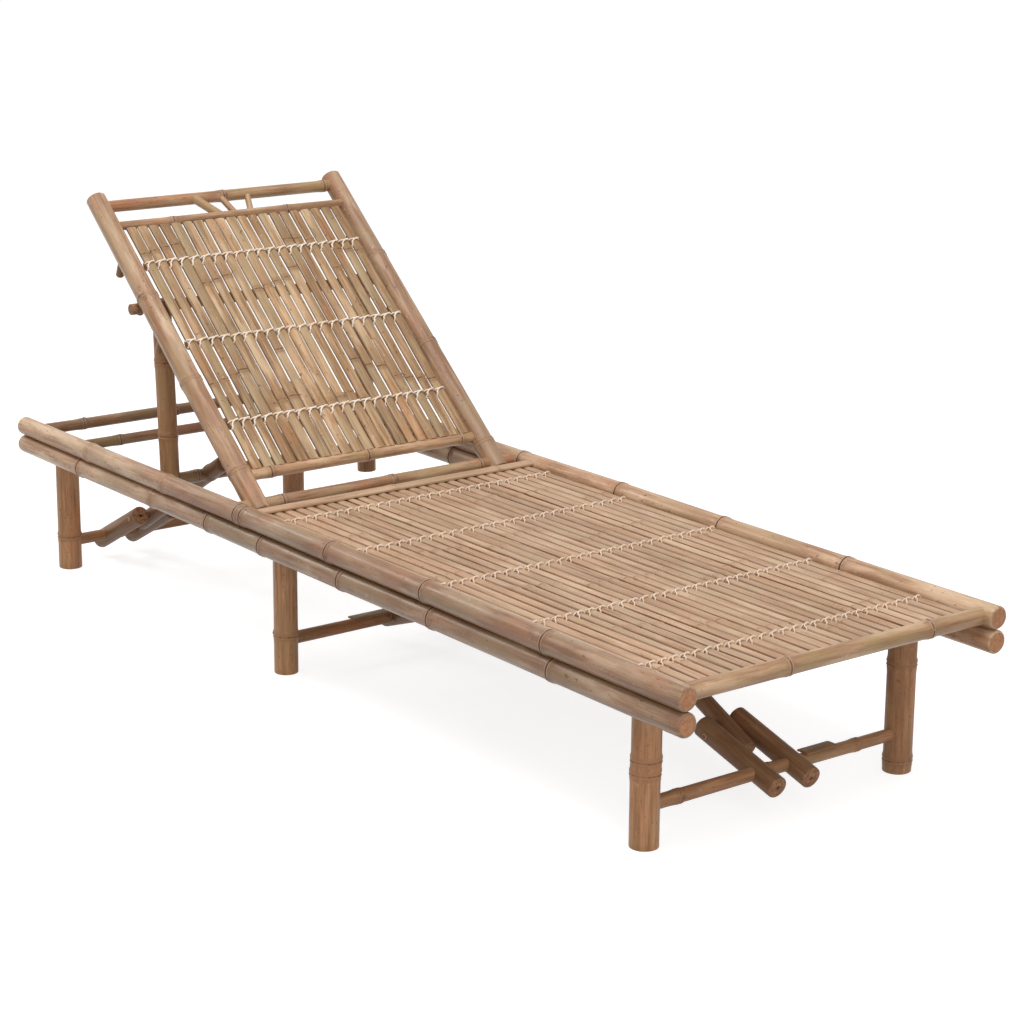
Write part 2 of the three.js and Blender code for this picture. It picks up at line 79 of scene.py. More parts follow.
# Random seeds: the first of each kind of piece, and the steps between pieces alike
SEEDS = {"rail": 11, "bar": 31, "leg": 60, "rung": 64, "arm": 100, "link": 105, "elbow": 107,
         "back_pole": 140, "peg": 150, "top_bar": 160, "bottom_rung": 161, "slat_bar": 162,
         "strut": 164, "prop_leg": 170, "prop_bar": 172}
PAIR_SEEDS = 10
PEG_SEEDS = 4
PIN_SEEDS = 5
BATTEN_SEEDS = 7

# Poles
POLE_SIDES = 40
ARM_SIDES = 32
ROD_SIDES = 28
PEG_SIDES = 24
STRUT_SIDES = 20
PIN_SIDES = 16
POLE_SHARP = 40
RING_STEP = 14 * MM
END_CAP = 2.5 * MM
AXIS_PASSES = 3
RIDGE = 1.1 * MM
GROOVE = 0.8 * MM
SWELL = 1.5 * MM
FULL_NODE_RADIUS = 14 * MM
WANDER = 0.9 * MM
WANDER_SHARE = 0.05
BEVEL = 1.1 * MM
BEVEL_RINGS = 2
RAIL_BEVEL = 3.8 * MM
ROUND_END = 4.5 * MM
ROUND_END_RINGS = 5
SKIN_LOBE_SHARES = {2: 0.01, 3: 0.0025, 5: 0.0025}
EDGE_WOBBLE = 0.022
EDGE_LOBE_SHARES = {3: EDGE_WOBBLE / 3, 5: EDGE_WOBBLE / 3, 8: EDGE_WOBBLE / 3}
BARK_SHARE = 0.9
PITH_RADIUS = 3.2 * MM
PITH_FLOOR_SHARE = 0.85
PITH_DEPTH = 10 * MM
PITH_SHIFT = 1.2 * MM

# Nodes and marks: what is read far from any node, where the skin above a node starts, and their rings
NODE_FREE = 0.5
NODE_TOP = 0.4 * MM
NODE_STEPS = np.array([-18, -13, -9, -6.5, -4.8, -3.6, -2.6, -1.8, -1.1, -0.5, 0, 0.5, 1.1, 1.9, 2.9,
                       4.3, 6, 8.5, 12, 17]) * MM
MARK_STEP_SHARES = np.linspace(-2.4, 2.4, 13)
MARK_ROUND_SHARE = 0.85
MICRON_PLACES = 6

# Where a tone changes along a pole, and how far pieces are moved about in the grain
TONE_CHANGE_SHARES = [0.12, 0.38]
GRAIN_ROOM = [3, 3, 9]

# Mats
MAT_SHARP = 50
SLAT_STEP = 12 * MM
SIDE_ROOM = 1.4 * MM
CROWN = 2.3 * MM
EDGE_ROUND = 1.5 * MM

# The material slots of a piece, and the colour sockets of a Mix node
SKIN_SLOT, CUT_SLOT, THREAD_SLOT = 0, 1, 2
MIX_FIRST, MIX_SECOND, MIX_RESULT = 6, 7, 2


def srgb(red, green, blue):
    """A colour as it looks, from 0 to 255, to the linear one that a shader takes."""
    shares = (channel / 255 for channel in (red, green, blue))
    linear = [s / 12.92 if s <= 0.04045 else ((s + 0.055) / 1.055) ** 2.4 for s in shares]
    return (*linear, 1.0)


class Wire:
    """One output of a shader node, with arithmetic that adds Math nodes."""

    def __init__(self, nodes, socket):
        self.nodes = nodes
        self.socket = socket

    def math(self, operation, *values):
        return self.nodes.node("ShaderNodeMath", {"operation": operation}, dict(enumerate(values)))

    def __add__(self, other):
        return self.math("ADD", self, other)

    def __radd__(self, other):
        return self.math("ADD", other, self)

    def __sub__(self, other):
        return self.math("SUBTRACT", self, other)

    def __rsub__(self, other):
        return self.math("SUBTRACT", other, self)

    def __mul__(self, other):
        return self.math("MULTIPLY", self, other)

    def __rmul__(self, other):
        return self.math("MULTIPLY", other, self)

    def least(self, other):
        return self.math("MINIMUM", self, other)

    def most(self, other):
        return self.math("MAXIMUM", self, other)


class Nodes:
    """A node tree, with short ways to add to it."""

    def __init__(self, tree):
        self.tree = tree

    def node(self, kind, settings=None, values=None, output=0):
        made = self.tree.nodes.new(kind)
        for name, value in (settings or {}).items():
            setattr(made, name, value)
        for socket, value in (values or {}).items():
            self.link(value, made.inputs[socket])
        return Wire(self, made.outputs[output])

    def link(self, value, socket):
        if isinstance(value, Wire):
            self.tree.links.new(value.socket, socket)
        else:
            socket.default_value = value

    def number(self, name):
        return self.node("ShaderNodeAttribute", {"attribute_name": name}, output="Fac")

    def vector(self, name):
        return self.node("ShaderNodeAttribute", {"attribute_name": name}, output="Vector")

    def parts(self, vector):
        split = self.node("ShaderNodeSeparateXYZ", values={0: vector})
        outputs = split.socket.node.outputs
        return [Wire(self, outputs[axis]) for axis in "XYZ"]

    def stretched(self, vector, scale):
        return self.node("ShaderNodeVectorMath", {"operation": "MULTIPLY"}, {0: vector, 1: scale})

    def noise(self, vector, scale, detail=3, rough=0.55):
        values = {"Vector": vector, "Scale": scale, "Detail": detail, "Roughness": rough}
        return self.node("ShaderNodeTexNoise", values=values)

    def cells(self, vector, scale):
        return self.node("ShaderNodeTexVoronoi", values={"Vector": vector, "Scale": scale})

    def step(self, value, low, high, to_low=0.0, to_high=1.0):
        """A smooth step of a value from one level to another."""
        values = {"Value": value, "From Min": low, "From Max": high, "To Min": to_low, "To Max": to_high}
        return self.node("ShaderNodeMapRange", {"interpolation_type": "SMOOTHSTEP"}, values)

    def mix(self, share, first, second, kind="MIX"):
        settings = {"data_type": "RGBA", "blend_type": kind}
        node = self.node("ShaderNodeMix", settings, {"Factor": share}).socket.node
        self.link(first, node.inputs[MIX_FIRST])
        self.link(second, node.inputs[MIX_SECOND])
        return Wire(self, node.outputs[MIX_RESULT])

    def grey(self, value):
        return self.node("ShaderNodeCombineXYZ", values={0: value, 1: value, 2: value})

    def bump(self, height, distance):
        return self.node("ShaderNodeBump", values={"Height": height, "Distance": distance})

    def seen(self):
        """One for what the camera sees, straight, mirrored or through glass."""
        outputs = self.node("ShaderNodeLightPath").socket.node.outputs
        camera, glossy, through = (
            Wire(self, outputs[name]) for name in ("Is Camera Ray", "Is Glossy Ray", "Is Transmission Ray"))
        return camera.most(glossy).most(through)


class Finish(Nodes):
    """One material, built from nodes on a Principled shader."""

    def __init__(self, name, **constants):
        self.material = bpy.data.materials.new(name)
        self.material.use_nodes = True
        super().__init__(self.material.node_tree)
        self.shader = self.tree.nodes["Principled BSDF"]
        for socket, value in constants.items():
            self.shader.inputs[socket.replace("_", " ")].default_value = value

    def feed(self, name, value):
        self.link(value, self.shader.inputs[name])


# Finishes

# How the grain is drawn out along a pole, from fine to nearly round
FIBRE = (1.0, 1.0, 0.022)
BAND = (1.0, 1.0, 0.05)
CLOUD = (1.0, 1.0, 0.16)
PATCH = (1.0, 1.0, 0.45)
ROUND = (1.0, 1.0, 0.8)

# Distances from a node at which its browning, its pale ring and its dark ring fade
BROWN_NEAR = (4 * MM, 13 * MM)
BROWN_ABOVE = (0.0, 70 * MM)
PALE_RING = (2.2 * MM, 4.5 * MM)
DARK_RING = (1.1 * MM, 2.5 * MM)

# How deep the bumps of each finish are
SKIN_DEPTH = 0.3 * MM
CUT_DEPTH = 0.6 * MM
THREAD_DEPTH = 0.4 * MM

Tones = namedtuple("Tones", "pale body deep warm olive node")
RAIL_TONES = Tones(srgb(214, 184, 153), srgb(194, 156, 122), srgb(154, 113, 83), srgb(184, 132, 98),
                   srgb(174, 143, 106), srgb(88, 54, 34))
ROD_TONES = Tones(srgb(210, 176, 141), srgb(190, 151, 116), srgb(148, 108, 76), srgb(182, 118, 80),
                  srgb(168, 140, 94), srgb(88, 52, 32))
LEG_TONES = Tones(srgb(220, 174, 133), srgb(202, 151, 108), srgb(166, 117, 80), srgb(202, 134, 88),
                  srgb(176, 138, 94), srgb(92, 56, 34))
SEAT_TONES = Tones(srgb(208, 178, 147), srgb(197, 163, 133), srgb(174, 138, 108), srgb(189, 148, 115),
                   srgb(187, 157, 124), srgb(98, 55, 25))
BACK_TONES = Tones(srgb(217, 186, 149), srgb(198, 162, 124), srgb(154, 117, 80), srgb(182, 128, 83),
                   srgb(172, 149, 112), srgb(84, 54, 30))

Grain = namedtuple("Grain", "roughness gloss mottle line broken streaky pitted")


def bamboo_finish(name, tones, kind):
    """Lacquered bamboo skin: fibres, streaks, drawn-out patches, and darker nodes."""
    look = Finish(name, Roughness=kind.roughness, Specular_IOR_Level=0.32, Coat_Roughness=0.2,
                  Coat_IOR=1.45)
    grain = look.vector("grain")
    light, warm, dark = look.parts(look.vector("tone"))
    ring = look.number("ring")
    rise = look.number("rise")
    stain = look.number("stain")
    fibres = look.noise(look.stretched(grain, FIBRE), 900, 4, 0.65)
    streaks = look.noise(look.stretched(grain, FIBRE), 480, 2)
    bands = look.noise(look.stretched(grain, BAND), 150)
    clouds = look.noise(look.stretched(grain, CLOUD), 42, 4, 0.6)
    patches = look.noise(look.stretched(grain, PATCH), 15)
    flecks = look.noise(look.stretched(grain, PATCH), 300, 2)
    blots = look.noise(look.stretched(grain, ROUND), 120, 2)

    lit = (light - 0.5) * 0.18
    colour = look.mix(look.step(bands * 0.5 + clouds * 0.5 + lit, 0.4, 0.6), tones.deep, tones.body)
    colour = look.mix(look.step(clouds + lit, 0.54, 0.68) * 0.8, colour, tones.pale)
    colour = look.mix(look.step(patches, 0.38, 0.52, 0.6, 0.0), colour, tones.olive)
    ruddy = look.step(patches + (warm - 0.5) * 0.12, 0.57, 0.68)
    colour = look.mix(ruddy * 0.55, colour, tones.warm)
    drawn = look.step(streaks, 0.55, 0.68) * look.step(clouds, 0.36, 0.56, 1.0, 0.3)
    colour = look.mix(drawn * kind.streaky, colour, tones.node)

    near_node = look.step(ring, *BROWN_NEAR, 1.0, 0.0)
    above_node = look.step(rise, *BROWN_ABOVE, 1.0, 0.0)
    mottled = look.step(clouds * 0.6 + bands * 0.4, 0.48, 0.6)
    browned = ((near_node * 0.45 + above_node * mottled) * kind.mottle).least(0.8)
    colour = look.mix(browned, colour, tones.deep)
    specks = look.step(flecks, 0.64, 0.72) * look.step(patches, 0.42, 0.6)
    colour = look.mix(specks * 0.5, colour, tones.node)
    pits = look.step(blots, 0.68, 0.72) * kind.pitted
    colour = look.mix(pits * 0.6, colour, tones.node)
    scuffs = look.step(blots, 0.27, 0.33, 1.0, 0.0) * kind.pitted
    colour = look.mix(scuffs * 0.45, colour, tones.pale)

    # The tone's dark value scales the colour: a random tone on most pieces, and painted shade or painted
    # light on the near and far rails
    shade = look.step(fibres, 0.3, 0.72, 0.88, 1.06) * (1.05 - dark * 0.18)
    colour = look.mix(1.0, colour, look.grey(shade), "MULTIPLY")
    pale_ring = look.step(ring, *PALE_RING, 1.0, 0.0) * kind.gloss
    colour = look.mix((pale_ring * 1.4).least(0.5), colour, tones.pale)
    unbroken = look.step(bands, kind.broken, kind.broken + 0.12, 0.2, 1.0)
    mark = look.step(ring, *DARK_RING, 1.0, 0.0) * unbroken
    # Node lines and the darkened marks, drawn in the node colour: real dark buds, the slats' real browner
    # split edges together with painted shade of the seams between them, and painted shade round the pin
    # heads
    colour = look.mix((mark * kind.line).most(stain), colour, tones.node)

    look.feed("Base Color", colour)
    worn = look.step(patches, 0.4, 0.62, 0.0, 0.1)
    look.feed("Roughness", fibres * 0.14 + (kind.roughness - 0.07) + worn)
    look.feed("Coat Weight", look.step(clouds, 0.38, 0.62, 0.6, 1.0) * kind.gloss)
    look.feed("Normal", look.bump(fibres * 0.5 + streaks * 0.4 + bands * 0.9 - pits, SKIN_DEPTH))
    return look.material


def cut_finish(name, body, deep):
    """A sawn end: browner at the bark, with vessel dots that crowd outwards, pits and saw marks."""
    look = Finish(name, Roughness=0.62)
    grain = look.vector("grain")
    core = look.number("core")
    flat = look.stretched(grain, (1, 1, 0))
    dots = look.cells(flat, 520)
    dot = look.step(dots, 0.18, 0.4, 1.0, 0.0) * look.step(core, 0.1, 0.9, 0.3, 0.9)
    patches = look.noise(flat, 120, 3)
    pits = look.step(look.noise(flat, 420, 2), 0.62, 0.7)
    saw = look.noise(look.stretched(grain, (1, 0.06, 0)), 900, 2)
    colour = look.mix(look.step(patches, 0.4, 0.6), deep, body)
    colour = look.mix(dot * 0.4, colour, srgb(110, 70, 46))
    colour = look.mix(pits * 0.7, colour, srgb(74, 46, 30))
    colour = look.mix(look.step(core, 0.9, 0.99) * 0.4, colour, srgb(120, 86, 62))
    look.feed("Base Color", colour)
    look.feed("Roughness", look.step(patches, 0.3, 0.7, 0.55, 0.75))
    look.feed("Normal", look.bump(saw * 0.7 + dots * 0.6 - pits, CUT_DEPTH))
    return look.material


def thread_finish():
    """Twisted cream thread, in which the tone's third value is dirt."""
    look = Finish("lacing_thread", Roughness=0.78, Sheen_Weight=0.2)
    grain = look.vector("grain")
    dark = look.parts(look.vector("tone"))[2]
    fluff = look.noise(grain, 900, 3)
    dirt = look.noise(grain, 60, 2)
    twist = look.node("ShaderNodeTexWave", {"wave_type": "BANDS", "bands_direction": "DIAGONAL"},
                      {"Vector": grain, "Scale": 260, "Distortion": 1.5})
    colour = look.mix(look.step(dirt, 0.4, 0.62), srgb(248, 226, 202), srgb(255, 248, 236))
    colour = look.mix(look.step(fluff, 0.52, 0.7) * 0.22, colour, srgb(210, 182, 150))
    colour = look.mix(dark * 0.6, colour, srgb(214, 178, 146))
    look.feed("Base Color", colour)
    look.feed("Roughness", look.step(fluff, 0.3, 0.7, 0.7, 0.9))
    look.feed("Normal", look.bump(fluff * 0.5 + twist * 0.8, THREAD_DEPTH))
    return look.material


RAIL_SKIN = bamboo_finish("rail_skin", RAIL_TONES, Grain(
    roughness=0.38, gloss=0.28, mottle=0.8, line=1.0, broken=0.2, streaky=0.16, pitted=1.0))
ROD_SKIN = bamboo_finish("rod_skin", ROD_TONES, Grain(
    roughness=0.42, gloss=0.25, mottle=1.0, line=0.85, broken=0.3, streaky=0.4, pitted=0.5))
LEG_SKIN = bamboo_finish("leg_skin", LEG_TONES, Grain(
    roughness=0.48, gloss=0.08, mottle=1.3, line=0.6, broken=0.5, streaky=0.4, pitted=0.7))
SEAT_SKIN = bamboo_finish("seat_slat_skin", SEAT_TONES, Grain(
    roughness=0.48, gloss=0.06, mottle=0.7, line=0.5, broken=0.48, streaky=0.45, pitted=0.4))
BACK_SKIN = bamboo_finish("back_slat_skin", BACK_TONES, Grain(
    roughness=0.48, gloss=0.06, mottle=2.0, line=0.7, broken=0.44, streaky=0.75, pitted=1.0))
CUT_PALE = cut_finish("sawn_end_pale", srgb(188, 134, 94), srgb(166, 112, 76))
CUT_BROWN = cut_finish("sawn_end_brown", srgb(168, 118, 78), srgb(118, 76, 46))
THREAD = thread_finish()

# The kinds of bamboo that poles are made of
Cane = namedtuple("Cane", "slot skin cut")
RAIL_CANE = Cane("rail_bamboo", RAIL_SKIN, CUT_PALE)
ROD_CANE = Cane("rod_bamboo", ROD_SKIN, CUT_PALE)
LEG_CANE = Cane("leg_bamboo", LEG_SKIN, CUT_BROWN)
BRACE_CANE = Cane("rod_bamboo", LEG_SKIN, CUT_BROWN)


# Meshes

class Shape:
    """The points and faces of one piece, with the values that its finish reads."""

    NUMBERS = {"ring": NODE_FREE, "rise": NODE_FREE, "stain": 0.0, "core": 0.6}
    VECTORS = {"grain": 0.0, "tone": 0.5}

    def __init__(self):
        self.points = []
        self.faces = []
        self.slots = []
        self.values = {name: [] for name in (*self.NUMBERS, *self.VECTORS)}
        self.count = 0

    def add(self, points, faces, slots, values):
        points = np.asarray(points, float).reshape(-1, 3)
        self.points.append(points)
        self.faces += [[index + self.count for index in face] for face in faces]
        self.slots += slots
        for name, store in self.values.items():
            width = 3 if name in self.VECTORS else 1
            usual = {**self.NUMBERS, **self.VECTORS}[name]
            value = np.asarray(values.get(name, usual), float)
            if value.ndim == 1 and width == 1:
                value = value[:, None]
            store.append(np.broadcast_to(value, (len(points), width)))
        self.count += len(points)

    def build(self, name, materials, sharp=POLE_SHARP):
        mesh = bpy.data.meshes.new(name)
        mesh.from_pydata(np.concatenate(self.points).tolist(), [], self.faces)
        for material in materials:
            mesh.materials.append(material)
        mesh.polygons.foreach_set("material_index", self.slots)
        for value, store in self.values.items():
            kind = "FLOAT_VECTOR" if value in self.VECTORS else "FLOAT"
            attribute = mesh.attributes.new(value, kind, "POINT")
            field = "vector" if value in self.VECTORS else "value"
            attribute.data.foreach_set(field, np.concatenate(store).astype(np.float32).ravel())
        mesh.shade_smooth()
        mesh.set_sharp_from_angle(angle=math.radians(sharp))
        mesh.update()
        piece = bpy.data.objects.new(name, mesh)
        bpy.context.scene.collection.objects.link(piece)
        return piece


def loft_faces(rings):
    """Faces that point outwards round a row of rings, with a face over each end."""
    rows, columns = rings.shape[:2]
    faces = []
    for row in range(rows - 1):
        for column in range(columns):
            across = (column + 1) % columns
            faces.append([row * columns + column, row * columns + across,
                          (row + 1) * columns + across, (row + 1) * columns + column])
    faces.append(list(range(columns))[::-1])
    faces.append([(rows - 1) * columns + column for column in range(columns)])
    middle = rows // 2
    first, second, next_first = rings[middle, 0], rings[middle, 1], rings[middle + 1, 0]
    outwards = np.cross(second - first, next_first - first) @ (first - rings[middle].mean(axis=0))
    return faces if outwards > 0 else [face[::-1] for face in faces]


def add_loft(shape, rings, values, side_slot=SKIN_SLOT, end_slot=CUT_SLOT):
    faces = loft_faces(rings)
    slots = [side_slot] * (len(faces) - 2) + [end_slot] * 2
    shape.add(rings, faces, slots, values)


def node_points(name):
    mesh = frame["nodes"][name].data
    flat = np.zeros(len(mesh.vertices) * 3, np.float32)
    mesh.vertices.foreach_get("co", flat)
    return np.unique(np.round(flat.reshape(-1, 3).astype(float), MICRON_PLACES), axis=0)


Pole = namedtuple("Pole", "start end start_radius end_radius")


def read_pole(name, toward=UP, cap=END_CAP):
    """The axis and end radii of a pole of the frame, which runs towards a direction."""
    points = node_points(name)
    middle = points.mean(axis=0)
    axis = np.linalg.svd(points - middle, full_matrices=False)[2][0]
    if axis @ np.array(toward) < 0:
        axis = -axis
    for _ in range(AXIS_PASSES):
        along = (points - middle) @ axis
        low = points[along < along.min() + cap].mean(axis=0)
        high = points[along > along.max() - cap].mean(axis=0)
        middle = (low + high) / 2
        axis = (high - low) / np.linalg.norm(high - low)
    along = (points - middle) @ axis
    away = np.linalg.norm((points - middle) - np.outer(along, axis), axis=1)
    rim = 2 * ROUND_END
    start_radius = away[along < along.min() + rim].max()
    end_radius = away[along > along.max() - rim].max()
    start = Vector(middle + axis * along.min())
    end = Vector(middle + axis * along.max())
    return Pole(start, end, start_radius, end_radius)


def basis(direction):
    """Columns across, beside and along a direction, with the first one upwards where it can be."""
    along = direction.normalized()
    guide = UP if abs(along.z) < 0.9 else ALONG_X
    across = (guide - guide.dot(along) * along).normalized()
    return np.array([across, along.cross(across), along]).T


Bulge = namedtuple("Bulge", "height place spread")
NODE_BULGES = [
    Bulge(RIDGE, -2.4 * MM, 1.4 * MM),
    Bulge(-GROOVE, 0, 1 * MM),
    Bulge(SWELL, 4 * MM, 4.2 * MM),
    Bulge(0.5 * SWELL, -7 * MM, 5 * MM),
]


def node_profile(distance):
    """How far the skin stands out at a distance along the pole from a node."""
    return sum(bulge.height * np.exp(-((distance - bulge.place) / bulge.spread) ** 2)
               for bulge in NODE_BULGES)


def ring_values(places, nodes, columns, faint=0.0):
    """What a finish reads about the nodes at each place along a pole, for every point of its ring.

    The first is how far the nearest node is, and more where its line is faint. The second is how far
    the next node below is.
    """
    if not nodes:
        return {}
    gaps = places[:, None] - np.array(nodes)[None, :]
    below = np.where(gaps > NODE_TOP, gaps, NODE_FREE)
    nearest = (np.abs(gaps) + faint).min(axis=1)
    return {"ring": np.repeat(nearest, columns), "rise": np.repeat(below.min(axis=1), columns)}


def ring_places(low, high, nodes, step, marks=()):
    """Where a mesh has rings: even steps, and closer ones at each node and mark."""
    count = max(2, int((high - low) / step))
    places = list(np.linspace(low, high, count + 1))
    close = [node + NODE_STEPS for node in nodes]
    close += [mark.along + MARK_STEP_SHARES * mark.width for mark in marks]
    for group in close:
        places = [place for place in places if not group[0] - MM < place < group[-1] + MM]
    for group in close:
        places += [place for place in group if low < place < high]
    return np.unique(np.round([low, *places, high], MICRON_PLACES))


def random_offset(draw, reach):
    """A random amount, up to a reach either way."""
    return draw.uniform(-reach, reach)


def random_tone(draw, light=(0.2, 0.8), warm=(0.1, 0.9)):
    """How light, warm and dark a skin is. Chosen tones may be darker than 1."""
    return [draw.uniform(*light), draw.uniform(*warm), draw.random()]


def random_grain(draw):
    """How far a piece is moved through the grain's pattern, so that no two pieces match."""
    return np.array([draw.uniform(0, room) for room in GRAIN_ROOM])


Mark = namedtuple("Mark", "along angle width height dark")
Row = namedtuple("Row", "along radius core edge")


def end_rows(radius, bevel, pith):
    """The rings from a sawn end's middle to its skin, and how many of them are on its flat.

    A row has its depth below the end, its radius, and how near it is to the bark and to the edge.
    """
    rim = radius - bevel
    if pith:
        rows = [Row(PITH_DEPTH, PITH_FLOOR_SHARE * PITH_RADIUS, 0.95, 0), Row(0, PITH_RADIUS, 0.2, 0)]
    else:
        rows = [Row(0, MM, 0, 0)]
    rows += [Row(0, 0.5 * rim, 0.5, 0.5), Row(0, BARK_SHARE * rim, BARK_SHARE, 0.9)]
    flat = len(rows)
    turns = BEVEL_RINGS if bevel <= BEVEL else ROUND_END_RINGS
    for turn in range(turns):
        angle = turn / turns * math.pi / 2
        inset = bevel * (1 - math.sin(angle))
        rows.append(Row(bevel * (1 - math.cos(angle)), radius - inset, 1, inset / bevel))
    return rows, flat


def pole_rows(pole, length, nodes, marks, bevel, pith):
    """The rings of a pole from end to end, and how many of them are on the flat of each end."""
    places = ring_places(bevel, length - bevel, nodes, RING_STEP, marks)
    radii = np.interp(places, [0, length], [pole.start_radius, pole.end_radius])
    node_size = min(1, pole.start_radius / FULL_NODE_RADIUS)
    for node in nodes:
        radii = radii + node_profile(places - node) * node_size
    first, flat = end_rows(radii[0], bevel, pith)
    last, _ = end_rows(radii[-1], bevel, pith)
    between = [Row(place, radius, 1, 0) for place, radius in zip(places, radii)]
    return [*first, *between, *(row._replace(along=length - row.along) for row in reversed(last))], flat


def ring_middles(draw, along, reach, radius, bends):
    """Where the rings' middles are: the pole bends at its nodes, and its pith is off centre."""
    wander = min(WANDER, WANDER_SHARE * radius)
    drift = [[0 if place in (bends[0], bends[-1]) else random_offset(draw, wander) for place in bends]
             for _ in range(2)]
    pith_angle = draw.uniform(0, 2 * math.pi)
    turned = (math.cos(pith_angle), math.sin(pith_angle))
    pithy = (reach <= PITH_RADIUS) * PITH_SHIFT
    return [np.interp(along, bends, shifts) + pithy * turn for shifts, turn in zip(drift, turned)]


def lobes(angles, depth_shares, phases):
    """How far a pole is out of round, as a share of its radius."""
    return sum(depth * np.cos(count * angles + phase)
               for (count, depth), phase in zip(depth_shares.items(), phases))


def raise_marks(radius, marks, along, angles, pole_radius):
    """The radii with each mark standing out, and how dark each point is painted: real stain at buds,
    painted shade round pin heads.
    """
    stain = np.zeros_like(radius)
    for mark in marks:
        arc = (angles - math.radians(mark.angle) + math.pi) % (2 * math.pi) - math.pi
        round_width = MARK_ROUND_SHARE * mark.width
        spot = np.exp(-((along[:, None] - mark.along) / mark.width) ** 2
                      - (arc[None, :] * pole_radius / round_width) ** 2)
        radius = radius + mark.height * spot
        stain = np.maximum(stain, mark.dark * spot)
    return radius, stain


def add_pole(shape, pole, nodes, seed, sides=POLE_SIDES, bevel=BEVEL, pith=False, marks=(), tone=None,
             tone_end=None, faint=0.0):
    """Adds one bamboo pole, with its nodes at distances from its start, to a shape."""
    draw = random.Random(seed)
    span = pole.end - pole.start
    length = span.length
    nodes = [node for node in sorted(nodes) if bevel < node < length - bevel]
    rows, flat = pole_rows(pole, length, nodes, marks, bevel, pith)
    along, reach, core, edge = (np.array(column, float) for column in zip(*rows))
    middles = ring_middles(draw, along, reach, pole.start_radius, [0, *nodes, length])

    angles = np.linspace(0, 2 * math.pi, sides, endpoint=False)
    phases = [draw.uniform(0, 2 * math.pi) for _ in range(6)]
    roundness = 1 + lobes(angles, SKIN_LOBE_SHARES, phases[:3])
    wobble = lobes(angles, EDGE_LOBE_SHARES, phases[3:])
    radius = reach[:, None] * (roundness[None, :] + edge[:, None] * wobble[None, :])
    radius, stain = raise_marks(radius, marks, along, angles, pole.start_radius)

    x = middles[0][:, None] + radius * np.cos(angles)[None, :]
    y = middles[1][:, None] + radius * np.sin(angles)[None, :]
    local = np.stack([x, y, np.broadcast_to(along[:, None], x.shape)], axis=-1)
    rings = local @ basis(span).T + np.array(pole.start)
    bands = [CUT_SLOT] * flat + [SKIN_SLOT] * (len(rows) - 1 - 2 * flat) + [CUT_SLOT] * flat
    slots = [slot for slot in bands for _ in range(sides)] + [CUT_SLOT, CUT_SLOT]
    grain = local.reshape(-1, 3) + random_grain(draw)
    start_tone = np.array(tone or random_tone(draw))
    end_tone = np.array(tone_end) if tone_end else start_tone
    change = np.interp(along / length, TONE_CHANGE_SHARES, [0, 1])[:, None]
    shape.add(rings, loft_faces(rings), slots, {
        "grain": grain,
        "tone": np.repeat(start_tone + change * (end_tone - start_tone), sides, axis=0),
        **ring_values(along, nodes, sides, faint),
        "stain": stain.ravel(),
        "core": np.repeat(core, sides),
    })


BUD_ABOVE_NODE = 4 * MM
BUD_WIDTH = 4.4 * MM
BUD_HEIGHT = 1.1 * MM
BUD_DARK = 0.75


def dress_pole(node, body, cane, node_shares, seed, pole=None, toward=UP, buds=(), marks=(), extra=None,
               **look):
    """Replaces a pole of the frame by its bamboo one. A bud is a node's number and its angle."""
    slot, skin, cut = cane
    pole = pole or read_pole(node, toward)
    length = (pole.end - pole.start).length
    places = [share * length for share in node_shares]
    raised = [Mark(places[index] + BUD_ABOVE_NODE, angle, BUD_WIDTH, BUD_HEIGHT, BUD_DARK)
              for index, angle in buds]
    shape = Shape()
    add_pole(shape, pole, places, seed, marks=[*raised, *marks], **look)
    if extra:
        extra(shape)
    piece = shape.build(f"{node}_pole", [skin, cut])
    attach(piece, body)
    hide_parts(node)


# Side rails and the cross bars of the frame

# A rail's node places along x, its buds, and how faint each node's line is, in millimetres
RailLook = namedtuple("RailLook", "node_x buds faint")
RAILS = {
    "rail_top_near": RailLook([-725, -440, -186, -168, 101, 374, 686], [(0, -60), (1, -70), (4, 100)],
                              [2.2, 1.9, 0, 0, 0, 0, 0]),
    "rail_low_near": RailLook([-758, -485, -284, -108, 138, 393, 701], [(0, -80), (4, -95)],
                              [0, 1.6, 0, 0, 0, 0, 0]),
    "rail_top_far": RailLook([-760, -480, -200, 88, 365, 668], [(2, 70)], [0]),
    "rail_low_far": RailLook([-700, -420, -160, 120, 410, 715], [(1, 60)], [0]),
}
# Painted shade on the near rails and painted light on the far rails, through the tone's dark value; the
# near rails' painted shade fades out towards their head end
RAIL_PAINTED_LIGHT_TONE = {"near": [0.45, 0.85, 1.65], "far": [0.7, 0.4, 0.1]}
RAIL_HEAD_TONE = {"near": [0.85, 0.15, -0.05], "far": [0.7, 0.4, 0.1]}


def dress_rails():
    for index, (node, rail) in enumerate(RAILS.items()):
        pole = read_pole(node, ALONG_X)
        length = (pole.end - pole.start).length
        shares = [(x * MM - pole.start.x) / length for x in rail.node_x]
        side = node.split("_")[-1]
        dress_pole(node, "frame", RAIL_CANE, shares, SEEDS["rail"] + index, pole=pole,
                   buds=rail.buds, bevel=RAIL_BEVEL, tone=RAIL_HEAD_TONE[side],
                   tone_end=RAIL_PAINTED_LIGHT_TONE[side], faint=np.array(rail.faint) * MM)


